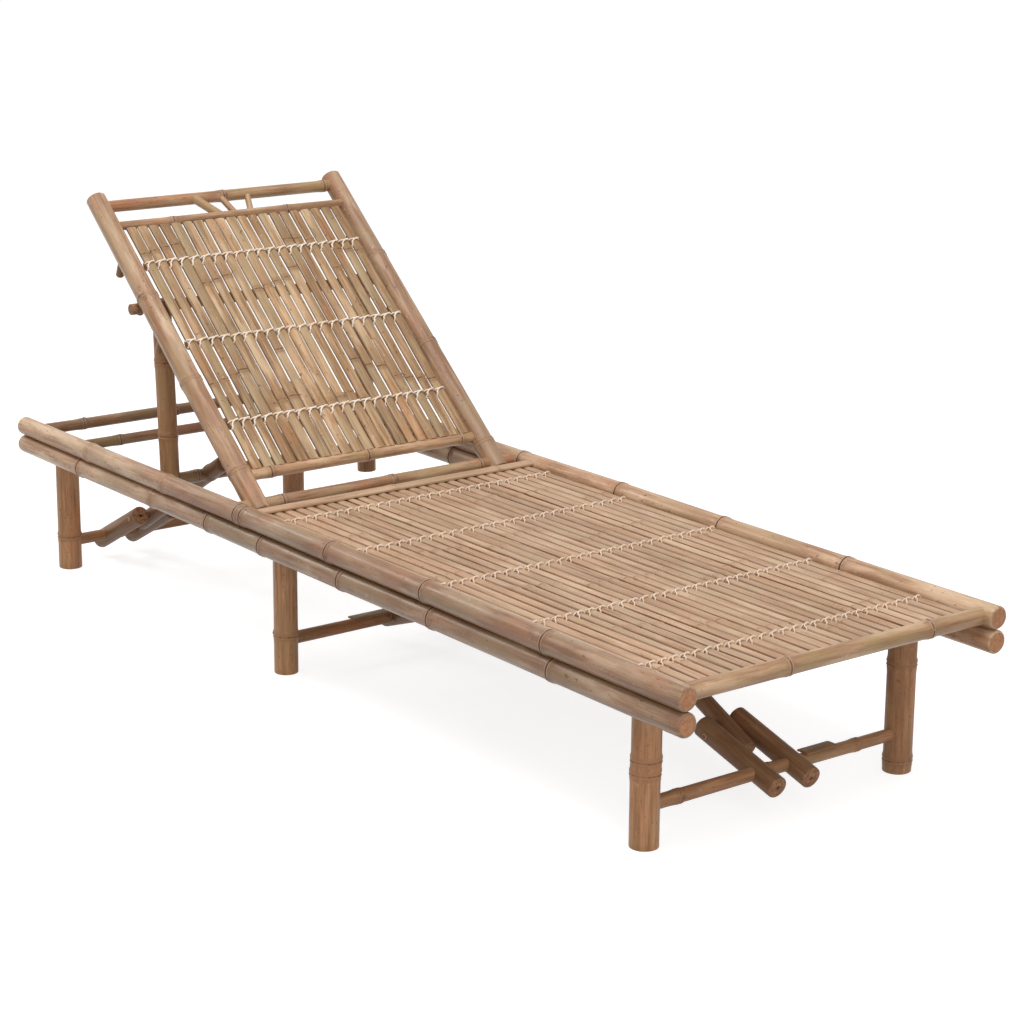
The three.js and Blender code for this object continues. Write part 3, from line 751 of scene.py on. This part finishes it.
Bar = namedtuple("Bar", "node_shares buds tone")
FRAME_BARS = {
    "head_bar": Bar([0.16, 0.49, 0.83], [(0, 0)], [0.3, 0.9, 1.7]),
    "hinge_bar": Bar([0.17, 0.542, 0.85], [(1, 60)], [0.4, 0.95, 0.5]),
    "foot_rung": Bar([0.33, 0.79], [(1, -20)], [0.6, 0.5, 0.5]),
    "brace_rod_front": Bar([0.2, 0.57, 0.9], [], None),
    "brace_rod_middle": Bar([0.14, 0.5, 0.82], [], None),
    "prop_rod": Bar([0.24, 0.55, 0.88], [(1, 90)], [0.3, 0.6, 1.5]),
    "leg_rod_front": Bar([0.3, 0.72], [], None),
    "leg_rod_middle": Bar([0.22, 0.66], [], None),
    "leg_rod_rear": Bar([0.27, 0.61, 0.93], [(0, 20)], [0.4, 0.9, 1.3]),
}


def dress_frame_bars():
    for index, (node, bar) in enumerate(FRAME_BARS.items()):
        dress_pole(node, "frame", ROD_CANE, bar.node_shares, SEEDS["bar"] + index,
                   toward=ALONG_Y, sides=ROD_SIDES, buds=bar.buds, tone=bar.tone)


# Legs with their rungs and braces

LEG_NODE_SHARES = {
    "front": {"near": [0.45, 0.53], "far": [0.08, 0.7]},
    "middle": {"near": [0.268], "far": [0.34, 0.85]},
    "rear": {"near": [0.25], "far": [0.2, 0.72]},
}
LEG_BUDS = {"front": [(1, 150)], "middle": [(0, -120)], "rear": [(0, 40)]}
LEG_TONE = {"near": [0.55, 0.6, 0.3], "far": [0.4, 0.4, 1.3]}
LEG_FAINT = {"near": 0.4 * MM, "far": [0.4 * MM, 2 * MM]}
RUNG_NODE_SHARES = {"front": [0.132, 0.46, 0.8], "middle": [0.41, 0.78], "rear": [0.22, 0.6, 0.92]}
RUNG_THICK_SHARE = 1.07
RUNG_THIN_SHARE = 0.95
RUNG_TONE = [0.4, 0.7, 1.3]
ARM_TONE = [0.3, 0.3, 2.5]
LINK_TONE = [0.3, 0.5, 2.9]
PIN_TONE = [0.9, 0.6, 0]
# Painted shade: a darkened ring round each pin head on its arm
PIN_SHADE_WIDTH = 5.6 * MM
PIN_SHADE = 0.9
PIN_DEPTH = 6 * MM
PIN_RIM = 0.2 * MM


def dress_legs():
    for index, (pair, places) in enumerate(LEG_NODE_SHARES.items()):
        body = f"{pair}_legs"
        for step, (side, shares) in enumerate(places.items()):
            dress_pole(f"leg_{pair}_{side}", body, LEG_CANE, shares,
                       SEEDS["leg"] + PAIR_SEEDS * index + step, buds=LEG_BUDS[pair],
                       faint=LEG_FAINT[side], tone=LEG_TONE[side])
        rung = read_pole(f"rung_{pair}", ALONG_Y)
        thick, thin = RUNG_THICK_SHARE * rung.start_radius, RUNG_THIN_SHARE * rung.start_radius
        tapered = rung._replace(start_radius=thick, end_radius=thin)
        dress_pole(f"rung_{pair}", body, BRACE_CANE, RUNG_NODE_SHARES[pair],
                   SEEDS["rung"] + PAIR_SEEDS * index, pole=tapered, sides=ROD_SIDES,
                   buds=[(0, 90)], tone=RUNG_TONE)


def dress_braces():
    for index, pair in enumerate(LEG_NODE_SHARES):
        seeds = PAIR_SEEDS * index
        for step, (side, sign) in enumerate((("near", -1), ("far", 1))):
            dress_arm(f"brace_arm_{pair}_{side}", f"{pair}_brace_arms", sign, SEEDS["arm"] + seeds + step)
        link = f"{pair}_brace_link"
        dress_pole(f"brace_link_{pair}", link, BRACE_CANE, [0.85], SEEDS["link"] + seeds,
                   sides=ARM_SIDES, pith=True, bevel=ROUND_END, tone=LINK_TONE)
        dress_pole(f"elbow_pin_{pair}", link, ROD_CANE, [], SEEDS["elbow"] + seeds,
                   toward=ALONG_Y, sides=PIN_SIDES)


def dress_arm(node, body, sign, seed):
    """An arm with the pin head on its outer side, in a ring of painted shade."""
    points = node_points(node)
    outward = sign * points[:, 1]
    rim = points[outward > outward.max() - PIN_RIM]
    middle = rim.mean(axis=0)
    radius = np.linalg.norm((rim - middle)[:, [0, 2]], axis=1).max()
    pole = read_pole(node)
    local = basis(pole.end - pole.start).T @ (middle - np.array(pole.start))
    angle = math.degrees(math.atan2(local[1], local[0]))
    stain = Mark(local[2], angle, PIN_SHADE_WIDTH, 0, PIN_SHADE)
    inner = Vector((middle[0], middle[1] - sign * PIN_DEPTH, middle[2]))
    pin = Pole(inner, Vector(middle), radius, radius)

    def add_pin_head(shape):
        add_pole(shape, pin, [], seed + PIN_SEEDS, sides=PIN_SIDES, tone=PIN_TONE)

    dress_pole(node, body, BRACE_CANE, [], seed, pole=pole, sides=ARM_SIDES, pith=True,
               bevel=2 * BEVEL, marks=[stain], tone=ARM_TONE, extra=add_pin_head)


# Backrest poles, bars, struts and pegs

BACK_POLE_NODE_SHARES = {"near": [0.12, 0.4, 0.668], "far": [0.08, 0.41, 0.71]}
BACK_POLE_BUDS = {"near": [(2, -69), (0, 30)], "far": [(1, 20)]}
BACK_POLE_TONE = {"near": [0.6, 0.55, 0.3], "far": [0.45, 0.65, 1.15]}
BACK_POLE_FAINT = 1.9 * MM
TOP_BAR_TONE = [0.6, 0.5, 0.3]
BOTTOM_RUNG_TONE = [0.8, 0.5, 0.1]
PEG_TONE = [0.4, 0.1, 2.3]
SLAT_BAR_RADIUS = 8.6 * MM
STRUT_CAP = 12 * MM
STRUT_SUNK = 3 * MM


def dress_back():
    for index, (side, shares) in enumerate(BACK_POLE_NODE_SHARES.items()):
        dress_pole(f"back_pole_{side}", "backrest", RAIL_CANE, shares,
                   SEEDS["back_pole"] + index, buds=BACK_POLE_BUDS[side], bevel=2 * BEVEL,
                   faint=BACK_POLE_FAINT, tone=BACK_POLE_TONE[side])
        for step, setting in enumerate(("lower", "middle", "upper")):
            dress_pole(f"peg_{side}_{setting}", "backrest", BRACE_CANE, [],
                       SEEDS["peg"] + PEG_SEEDS * index + step, sides=PEG_SIDES, bevel=ROUND_END,
                       tone=PEG_TONE)
    dress_pole("back_top_bar", "backrest", ROD_CANE, [0.5, 0.93], SEEDS["top_bar"],
               toward=ALONG_Y, sides=ROD_SIDES, buds=[(0, 70)], tone=TOP_BAR_TONE)
    dress_pole("back_bottom_rung", "backrest", ROD_CANE, [0.12, 0.51, 0.9], SEEDS["bottom_rung"],
               toward=ALONG_Y, sides=ROD_SIDES, tone=BOTTOM_RUNG_TONE)
    dress_slat_bar()
    for index in range(3):
        dress_strut(f"back_strut_{index + 1}", SEEDS["strut"] + index)


def dress_slat_bar():
    """The thin pole that holds the slats' upper ends, where the frame has a flat bar."""
    low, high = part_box("back_slat_bar")
    middle = (low + high) / 2
    start = Vector((middle.x, low.y, middle.z))
    end = Vector((middle.x, high.y, middle.z))
    dress_pole("back_slat_bar", "backrest", ROD_CANE, [0.25, 0.72], SEEDS["slat_bar"],
               sides=ROD_SIDES, pole=Pole(start, end, SLAT_BAR_RADIUS, SLAT_BAR_RADIUS))


def dress_strut(node, seed):
    """A strut from the top bar to the slat bar, run into both."""
    pole = read_pole(node, cap=STRUT_CAP)
    sunk = (pole.end - pole.start).normalized() * STRUT_SUNK
    radius = min(pole.start_radius, pole.end_radius)
    longer = Pole(pole.start - sunk, pole.end + sunk, radius, radius)
    dress_pole(node, "backrest", ROD_CANE, [], seed, sides=STRUT_SIDES, pole=longer)


# Prop

def dress_prop():
    for index, side in enumerate(("near", "far")):
        dress_pole(f"prop_leg_{side}", "prop", LEG_CANE, [0.34, 0.7], SEEDS["prop_leg"] + index,
                   buds=[(1, 30)])
    dress_pole("prop_bar", "prop", BRACE_CANE, [0.18, 0.5, 0.84], SEEDS["prop_bar"],
               toward=ALONG_Y, sides=ROD_SIDES, tone=PEG_TONE)


# Slats

# A mat's place, directions and reach, then its slats, the battens across them at rows, and its lacing
Mat = namedtuple("Mat", "origin along face half start end rows slats gap thick taper worn stained "
                        "batten_width batten_thick row_shift reach thread dirt seed")
Slat = namedtuple("Slat", "middle half nodes drift edges browns lift tilt tone shift")
Culm = namedtuple("Culm", "places tone drift slant")

# The slats' split edges and undersides are darkened: partly their real browner colour, partly painted shade
# of the seams between slats
WORN_STEP_SHARES = np.array([0, 0.35, 0.7, 1])
FULL_STAIN_AND_SHADE_SHARE = 0.35
UNDERSIDE_STAIN_AND_SHADE = 0.3
SLAT_NODE_SHARE = 0.6
NODE_SPREAD_SHARE = 0.5
SKIN_DEPTH_SHARE = 0.9

# What the slats split from one culm have alike, and how they differ
LONGEST_RUN = 4
NEW_CULM_CHANCE = 0.16
NODE_SPACING = [240 * MM, 330 * MM]
FIRST_NODE = 50 * MM
CULM_NODES = 8
NODE_MARGIN = 22 * MM
NODE_SLANT = 7 * MM
NODE_SCATTER = 3 * MM
CULM_WANDER = 1.2 * MM
CULM_LIGHT = (0.3, 0.7)
CULM_WARM = (0.1, 0.8)
SLAT_WANDER = 0.6 * MM
SLAT_TONE_REACH = 0.25
SLAT_SUNK = 0.5 * MM
SLAT_TILT = 0.03
SLAT_GAP_SHARES = [0.35, 1.65]
EDGE_WANDER = 0.7 * MM
EDGE_STEP = 70 * MM
# How dark the slats' edge lines are: real browning together with painted shade of the seams
LINE_DEPTHS = [0.35, 0.5, 0.65, 0.8, 1.0, 1.0]
LINE_DEPTH_SHARES = [0.65, 1.1]


def to_world(mat, along, across, out):
    """Mat places, along its slats, across them and outwards, in the frame's own axes."""
    along, across, out = np.broadcast_arrays(along, across, out)
    return (np.array(mat.origin) + along[..., None] * np.array(mat.along)
            + across[..., None] * np.array(ALONG_Y) + out[..., None] * np.array(mat.face))


def slat_section(mat, half):
    """The outline of a slat across its length, and how darkened each of its points is: real browner split
    edges and undersides, with painted shade of the seams between slats.
    """
    side = mat.worn + WORN_STEP_SHARES * (1 - mat.worn)
    shares = np.array([*-side[::-1], -mat.worn / 2, 0, mat.worn / 2, *side])
    worn = np.clip((np.abs(shares) - mat.worn) / (1 - mat.worn), 0, 1)
    drop = CROWN * shares ** 2 + EDGE_ROUND * worn ** 2
    across = np.append(shares, [mat.taper, -mat.taper]) * half
    out = np.append(-drop, [-mat.thick, -mat.thick])
    stain = np.append(mat.stained * np.minimum(worn / FULL_STAIN_AND_SHADE_SHARE, 1), [UNDERSIDE_STAIN_AND_SHADE, UNDERSIDE_STAIN_AND_SHADE])
    return across, out, stain


def slat_swell(places, nodes):
    """How far a slat's skin stands out at each place along it, as a column."""
    swell = sum((node_profile(places - node) for node in nodes), np.zeros(len(places)))
    return SLAT_NODE_SHARE * swell[:, None]


def add_slat(shape, mat, slat):
    """Adds one slat, which bends a little at its nodes, and whose split edges wander."""
    length = mat.end - mat.start
    places = ring_places(0, length, slat.nodes, SLAT_STEP)
    sway = np.interp(places, [0, *slat.nodes, length], slat.drift)[:, None]
    swell = slat_swell(places, slat.nodes)
    section, depth, stained = slat_section(mat, slat.half)
    on_skin = depth > -SKIN_DEPTH_SHARE * mat.thick
    knots = np.linspace(0, length, len(slat.browns[0]))
    left, right, brown_left, brown_right = (
        np.interp(places, knots, values)[:, None] for values in (*slat.edges, *slat.browns))
    share = section[None, :] / slat.half
    wander = np.where(share < 0, left, right) * share ** 2
    # How dark the edges are painted along the slat: real browner edges with painted shade of the seams
    brown = np.where(share < 0, brown_left, brown_right)
    wider = 1 + NODE_SPREAD_SHARE * swell / slat.half
    across = slat.middle + sway + section[None, :] * wider + wander
    out = depth[None, :] + swell * on_skin + slat.lift + slat.tilt * section[None, :]
    grain = np.stack(np.broadcast_arrays(across, out, places[:, None]), axis=-1).reshape(-1, 3)
    add_loft(shape, to_world(mat, mat.start + places[:, None], across, out), {
        "grain": grain + slat.shift,
        "tone": slat.tone,
        **ring_values(places, slat.nodes, len(section)),
        "stain": (stained[None, :] * brown).ravel(),
    })


def new_culm(draw):
    """A culm, as far as its slats are alike: nodes, tone, bends, and how its nodes slant."""
    spacing = draw.uniform(*NODE_SPACING)
    start = draw.uniform(FIRST_NODE, spacing)
    places = [start + step * spacing for step in range(CULM_NODES)]
    tone = random_tone(draw, CULM_LIGHT, CULM_WARM)
    drift = [random_offset(draw, CULM_WANDER) for _ in range(CULM_NODES + 2)]
    return Culm(places, tone, drift, random_offset(draw, NODE_SLANT))


def split_on(draw, culm):
    """The same culm for its next slat, whose nodes sit a little further along the slant."""
    places = [place + culm.slant + random_offset(draw, NODE_SCATTER) for place in culm.places]
    return culm._replace(places=places)


def random_slat(draw, mat, culm, middle, pitch):
    """A slat split from a culm."""
    length = mat.end - mat.start
    nodes = [place for place in culm.places if NODE_MARGIN < place < length - NODE_MARGIN]
    drift = [bend + random_offset(draw, SLAT_WANDER) for bend in culm.drift[:len(nodes) + 2]]
    knots = int(length / EDGE_STEP) + 2
    edges = [[random_offset(draw, EDGE_WANDER) for _ in range(knots)] for _ in range(2)]
    depth = draw.choice(LINE_DEPTHS)
    browns = [[depth * draw.uniform(*LINE_DEPTH_SHARES) for _ in range(knots)] for _ in range(2)]
    tone = [min(1, max(0, value + random_offset(draw, SLAT_TONE_REACH))) for value in culm.tone]
    shift = random_grain(draw)
    half = pitch / 2 - mat.gap / 2 * draw.uniform(*SLAT_GAP_SHARES)
    lift = draw.uniform(-SLAT_SUNK, 0)
    tilt = random_offset(draw, SLAT_TILT)
    return Slat(middle, half, nodes, drift, edges, browns, lift, tilt, tone, shift)


# Lacing

THREAD_SIDES = 6
THREAD_GRAIN_STEP = 130 * MM
NEARLY_UPRIGHT = 0.1
MM_IN_METRE = 1000
SEAM_DIP = -CROWN - EDGE_ROUND

RUNNING_STEPS = 3
RUNNING_SEED = 90
RUNNING_THREAD_SHARE = 0.95
RUNNING_JITTER = 1.3 * MM
MIDDLE_JITTER_SHARE = 0.4
THREAD_REST_SHARE = 0.9
SLAT_SIDE = 3.4 * MM

ARC_STEPS = 4
ARC_TURNS = [4, 22, 40, 58, 74, 88]
ARC_CROSSES = 50
ARC_CROSS_SHARE = 0.8
ARC_REACH_SHARES = [0.8, 1.25]
ARC_FOOT = 1.4 * MM
ARC_FOOT_ROOM = 1.2 * MM
ARC_START_SHARE = 1.15
ARC_TOP_SHARE = 0.96
ARC_DROP_SHARE = 1.02
ARC_END_SHARE = 0.08
ARC_START_DIP_SHARE = 1.5
ARC_END_DIP_SHARE = 1.3

WRAP_SEED = 40
WRAP_THREAD_SHARE = 0.9
WRAP_FRONT_SHARE = 0.6
WRAP_SIDE_ROOM = 1.3 * MM
WRAP_BACK_ROOM = 1.2 * MM
WRAP_LEAN = 1.5 * MM
WRAP_SAG = 0.2 * MM


def add_thread(shape, points, radius, dirt, seed):
    """Adds a thread along points in the frame's axes."""
    steps = np.gradient(points, axis=0)
    steps /= np.linalg.norm(steps, axis=1)[:, None]
    side = np.cross(steps[0], UP)
    if np.linalg.norm(side) < NEARLY_UPRIGHT:
        side = np.cross(steps[0], ALONG_X)
    angles = np.linspace(0, 2 * math.pi, THREAD_SIDES, endpoint=False)
    rings = []
    for place, step in zip(points, steps):
        side = side - side.dot(step) * step
        side /= np.linalg.norm(side)
        other = np.cross(step, side)
        rings.append(place + radius * (np.cos(angles)[:, None] * side + np.sin(angles)[:, None] * other))
    rings = np.array(rings)
    grain = rings.reshape(-1, 3) + seed * THREAD_GRAIN_STEP
    add_loft(shape, rings, {"grain": grain, "tone": [0.5, 0.5, dirt]}, THREAD_SLOT, THREAD_SLOT)


def smooth_path(mat, points, steps):
    """A rounded path through mat places, as Catmull-Rom curves, in the frame's axes."""
    points = np.array(points)
    padded = [2 * points[0] - points[1], *points, 2 * points[-1] - points[-2]]
    path = []
    for before, first, second, after in zip(padded, padded[1:], padded[2:], padded[3:]):
        for step in range(steps):
            t = step / steps
            path.append(0.5 * (2 * first + (second - before) * t
                               + (2 * before - 5 * first + 4 * second - after) * t * t
                               + (3 * first - before - 3 * second + after) * t ** 3))
    path.append(points[-1])
    along, across, out = np.array(path).T
    return to_world(mat, along, across, out)


def wrap_points(mat, batten, seam):
    """The loop round a batten, through the seam between two slats."""
    wide = mat.batten_width / 2 + WRAP_SIDE_ROOM
    front = -WRAP_FRONT_SHARE * mat.thick
    back = -mat.thick - mat.batten_thick - WRAP_BACK_ROOM
    return [(batten - wide, seam, front), (batten - wide, seam, back),
            (batten, seam + WRAP_LEAN, back - WRAP_SAG), (batten + wide, seam, back),
            (batten + wide, seam, front)]


def add_lacing(shape, mat, batten, seams):
    """One row of lacing: a running thread, an arc over each slat, and a loop round the batten."""
    draw = random.Random(mat.seed + int(batten * MM_IN_METRE))
    row = batten + mat.row_shift
    running = []
    for index, (left, right) in enumerate(zip(seams, seams[1:])):
        middle, half = (left + right) / 2, (right - left) / 2

        def on_slat(along, across, above=0.0):
            rest = THREAD_REST_SHARE * mat.thread - CROWN * ((across - middle) / half) ** 2
            return along, across, rest + above

        jitter = random_offset(draw, RUNNING_JITTER)
        low_side, high_side = left + SLAT_SIDE, right - SLAT_SIDE
        running += [(row + jitter, left, SEAM_DIP), on_slat(row + jitter, low_side),
                    on_slat(row + jitter * MIDDLE_JITTER_SHARE, middle),
                    on_slat(row - jitter, high_side)]
        reach = mat.reach * draw.uniform(*ARC_REACH_SHARES)
        foot = left + ARC_FOOT + draw.uniform(0, ARC_FOOT_ROOM)
        arc = [(row + reach * ARC_START_SHARE, left, SEAM_DIP * ARC_START_DIP_SHARE)]
        for turn in ARC_TURNS:
            angle = math.radians(turn)
            along = row + reach * (ARC_TOP_SHARE - ARC_DROP_SHARE * math.sin(angle))
            across = foot + (high_side - foot) * (1 - math.cos(angle))
            above = ARC_CROSS_SHARE * mat.thread if turn > ARC_CROSSES else 0
            arc.append(on_slat(along, across, above))
        arc.append((row - reach * ARC_END_SHARE, right, SEAM_DIP * ARC_END_DIP_SHARE))
        add_thread(shape, smooth_path(mat, arc, ARC_STEPS), mat.thread, mat.dirt, index)
        if index < len(seams) - 2:
            wrap = smooth_path(mat, wrap_points(mat, batten, right), RUNNING_STEPS)
            add_thread(shape, wrap, WRAP_THREAD_SHARE * mat.thread, mat.dirt, index + WRAP_SEED)
    running.append((row, seams[-1], SEAM_DIP))
    thread = smooth_path(mat, running, RUNNING_STEPS)
    add_thread(shape, thread, RUNNING_THREAD_SHARE * mat.thread, mat.dirt, RUNNING_SEED)


# Battens and whole mats

BATTEN_WIDTH_SHARES = np.array([-1, 1, 1, 0.6, 0, -0.6, -1])
BATTEN_DEPTH_SHARES = np.array([0, 0, 0.55, 0.9, 1, 0.9, 0.55])
BATTEN_RINGS = 60
BATTEN_BENDS = 6
BATTEN_WANDER = 0.6 * MM
BATTEN_TONE = [0.3, 0.5, 1.0]
BATTEN_STAIN = 0.3

SEAT_ROW_SHARES = [0.0747, 0.268, 0.478, 0.689, 0.908]
SEAT_MAKE = {
    "slats": 27, "gap": 2.4 * MM, "thick": 6.2 * MM, "taper": 0.94, "worn": 0.77, "stained": 0.92,
    "batten_width": 14 * MM, "batten_thick": 6 * MM, "row_shift": 0, "reach": 10.5 * MM,
    "thread": 1.35 * MM, "dirt": 0.9, "seed": 301,
}
BACK_ROW_SHARES = [0.18, 0.508, 0.839]
BACK_MAKE = {
    "slats": 20, "gap": 1.7 * MM, "thick": 5 * MM, "taper": 0.9, "worn": 0.82, "stained": 0.8,
    "batten_width": 18 * MM, "batten_thick": 7 * MM, "row_shift": 5 * MM, "reach": -13 * MM,
    "thread": 1.6 * MM, "dirt": 0.1, "seed": 409,
}
BACK_SLATS_PAST = 5 * MM


def add_batten(shape, mat, batten, seed):
    """A split strip across the back of the slats."""
    draw = random.Random(seed)
    reach = mat.half - SIDE_ROOM
    across = np.linspace(-reach, reach, BATTEN_RINGS)[:, None]
    offsets = [random_offset(draw, BATTEN_WANDER) for _ in range(BATTEN_BENDS)]
    sway = np.interp(across, np.linspace(-reach, reach, BATTEN_BENDS), offsets)
    along = batten + mat.batten_width / 2 * BATTEN_WIDTH_SHARES[None, :] + sway
    out = -mat.thick - mat.batten_thick * BATTEN_DEPTH_SHARES[None, :]
    grain = np.stack(np.broadcast_arrays(along, out, across), axis=-1).reshape(-1, 3)
    add_loft(shape, to_world(mat, along, across, out), {
        "grain": grain + random_grain(draw), "tone": BATTEN_TONE, "stain": BATTEN_STAIN})


def build_mat(node, body, mat, skin):
    """All the slats, battens and lacing of one mat."""
    draw = random.Random(mat.seed)
    pitch = 2 * mat.half / mat.slats
    shape = Shape()
    for index in range(mat.slats):
        if index % LONGEST_RUN == 0 or draw.random() < NEW_CULM_CHANCE:
            culm = new_culm(draw)
        else:
            culm = split_on(draw, culm)
        middle = -mat.half + (index + 0.5) * pitch
        add_slat(shape, mat, random_slat(draw, mat, culm, middle, pitch))
    seams = [-mat.half + index * pitch for index in range(mat.slats + 1)]
    seams[0] += mat.gap / 2
    seams[-1] -= mat.gap / 2
    for index, batten in enumerate(mat.rows):
        add_batten(shape, mat, batten, mat.seed + BATTEN_SEEDS * index)
        add_lacing(shape, mat, batten, seams)
    piece = shape.build(f"{node}_slats", [skin, CUT_PALE, THREAD], MAT_SHARP)
    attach(piece, body)
    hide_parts(node)


def make_seat():
    low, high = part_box("seat_mat")
    rows = [low.x + share * (high.x - low.x) for share in SEAT_ROW_SHARES]
    mat = Mat(origin=UP * high.z, along=ALONG_X, face=UP, half=high.y + SIDE_ROOM, start=low.x,
              end=high.x, rows=rows, **SEAT_MAKE)
    build_mat("seat_mat", "frame", mat, SEAT_SKIN)


def make_back_mat():
    """The back's mat, measured from its hinge along the near pole."""
    pole = read_pole("back_pole_near")
    along = (pole.end - pole.start).normalized()
    face = Vector((along.z, 0, -along.x))
    joint = next(joint for joint in frame["joints"] if joint["name"] == "backrest_recline")
    hinge = Vector(joint["pos_m"])
    points = node_points("back_mat") - np.array(hinge)
    climb = points @ np.array(along)
    front = (points @ np.array(face)).max()
    low, high = climb.min() - BACK_SLATS_PAST, climb.max()
    rows = [low + share * (high - low) for share in BACK_ROW_SHARES]
    mat = Mat(origin=hinge + face * front, along=along, face=face, half=points[:, 1].max() + SIDE_ROOM,
              start=low, end=high, rows=rows, **BACK_MAKE)
    build_mat("back_mat", "backrest", mat, BACK_SKIN)


# Split strips across the chair

ROUND_WIDTH_SHARES = [-1, -0.97, -0.8, -0.5, 0, 0.5, 0.8, 0.97, 1, 0.98, -0.98]
ROUND_HEIGHT_SHARES = [0.3, 0.55, 0.72, 0.9, 1, 0.9, 0.72, 0.55, 0.3, 0, 0]
FLAT_WIDTH_SHARES = [-1, -0.9, -0.5, 0, 0.5, 0.9, 1, 0.96, -0.96]
FLAT_HEIGHT_SHARES = [0.45, 0.8, 0.94, 1, 0.94, 0.8, 0.45, 0, 0]
END_STRIP_NODE_SHARES = [0.48, 0.87]
END_STRIP_TONE = [0.6, 0.5, 0.3]
TAB_TONE = [0.2, 0.0, 1.2]


def make_strip(node, body, node_shares, width_shares, height_shares, skin, tone):
    """A split strip on the place of its frame piece, round side up."""
    low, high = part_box(node)
    width, length, tall = high - low
    nodes = [share * length for share in node_shares]
    places = ring_places(0, length, nodes, SLAT_STEP)
    rises = np.array(height_shares)
    x = (low.x + high.x) / 2 + width / 2 * np.array(width_shares)[None, :]
    z = low.z + tall * rises[None, :] + slat_swell(places, nodes) * (rises > 0)[None, :]
    rings = np.stack(np.broadcast_arrays(x, low.y + places[:, None], z), axis=-1)
    shape = Shape()
    add_loft(shape, rings, {
        "grain": rings.reshape(-1, 3)[:, [0, 2, 1]] + len(node),
        "tone": tone,
        **ring_values(places, nodes, len(width_shares)),
    })
    piece = shape.build(f"{node}_split", [skin, CUT_PALE], MAT_SHARP)
    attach(piece, body)
    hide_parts(node)


def make_strips():
    make_strip("seat_end_strip", "frame", END_STRIP_NODE_SHARES, ROUND_WIDTH_SHARES,
               ROUND_HEIGHT_SHARES, SEAT_SKIN, END_STRIP_TONE)
    for pair in ("front", "middle"):
        make_strip(f"tab_{pair}", f"{pair}_legs", [], FLAT_WIDTH_SHARES, FLAT_HEIGHT_SHARES, BACK_SKIN,
                   TAB_TONE)


# Camera, floor and light

def place_camera():
    toward = Vector((math.sin(CAMERA_AZIMUTH) * math.cos(CAMERA_ELEVATION),
                     -math.cos(CAMERA_AZIMUTH) * math.cos(CAMERA_ELEVATION), math.sin(CAMERA_ELEVATION)))
    level = UP.cross(toward).normalized()
    upright = toward.cross(level)
    right = math.cos(CAMERA_ROLL) * level + math.sin(CAMERA_ROLL) * upright
    top = math.cos(CAMERA_ROLL) * upright - math.sin(CAMERA_ROLL) * level
    data = bpy.data.cameras.new("photo_camera")
    data.sensor_width = SENSOR
    data.lens = LENS
    data.clip_end = CAMERA_FAR
    camera = bpy.data.objects.new("photo_camera", data)
    camera.matrix_world = Matrix.Translation(CAMERA_AT) @ Matrix((right, top, toward)).transposed().to_4x4()
    bpy.context.scene.collection.objects.link(camera)
    bpy.context.scene.camera = camera


def lay_floor():
    """A plain floor that keeps the shadow, and shows white where nothing shades it."""
    look = Finish("floor_white", Base_Color=(FLOOR_GREY, FLOOR_GREY, FLOOR_GREY, 1), Roughness=0.9,
                  Specular_IOR_Level=0.0, Emission_Strength=1.0)
    unseen, lifted = (0, 0, 0, 1), (FLOOR_LIFT, FLOOR_LIFT, FLOOR_LIFT, 1)
    look.feed("Emission Color", look.mix(look.seen(), unseen, lifted))
    corners = [(-FLOOR_HALF, -FLOOR_HALF, 0), (FLOOR_HALF, -FLOOR_HALF, 0),
               (FLOOR_HALF, FLOOR_HALF, 0), (-FLOOR_HALF, FLOOR_HALF, 0)]
    mesh = bpy.data.meshes.new("floor")
    mesh.from_pydata(corners, [], [(0, 1, 2, 3)])
    mesh.materials.append(look.material)
    floor = bpy.data.objects.new("floor", mesh)
    bpy.context.scene.collection.objects.link(floor)


def light_world():
    """Even light from all round, which the camera sees as white."""
    world = bpy.data.worlds.new("studio")
    world.use_nodes = True
    bpy.context.scene.world = world
    sky = Nodes(world.node_tree)
    white = (1, 1, 1, 1)
    soft = sky.node("ShaderNodeBackground", values={"Color": white, "Strength": WORLD_STRENGTH})
    backdrop = sky.node("ShaderNodeBackground", values={"Color": white, "Strength": 1.0})
    shown = sky.node("ShaderNodeMixShader", values={0: sky.seen(), 1: soft, 2: backdrop})
    sky.link(shown, world.node_tree.nodes["World Output"].inputs["Surface"])


def add_lamps():
    for lamp in LAMPS:
        data = bpy.data.lights.new(lamp.name, "AREA")
        data.shape = "SQUARE"
        data.size = lamp.size
        data.energy = lamp.power
        light = bpy.data.objects.new(lamp.name, data)
        light.location = lamp.place
        light.rotation_euler = (LIT_POINT - lamp.place).to_track_quat("-Z", "Y").to_euler()
        bpy.context.scene.collection.objects.link(light)


def main():
    place_camera()
    dress_rails()
    dress_frame_bars()
    dress_legs()
    dress_braces()
    dress_back()
    dress_prop()
    make_seat()
    make_back_mat()
    make_strips()
    lay_floor()
    light_world()
    add_lamps()
    bpy.context.scene.view_settings.view_transform = "Standard"


main()
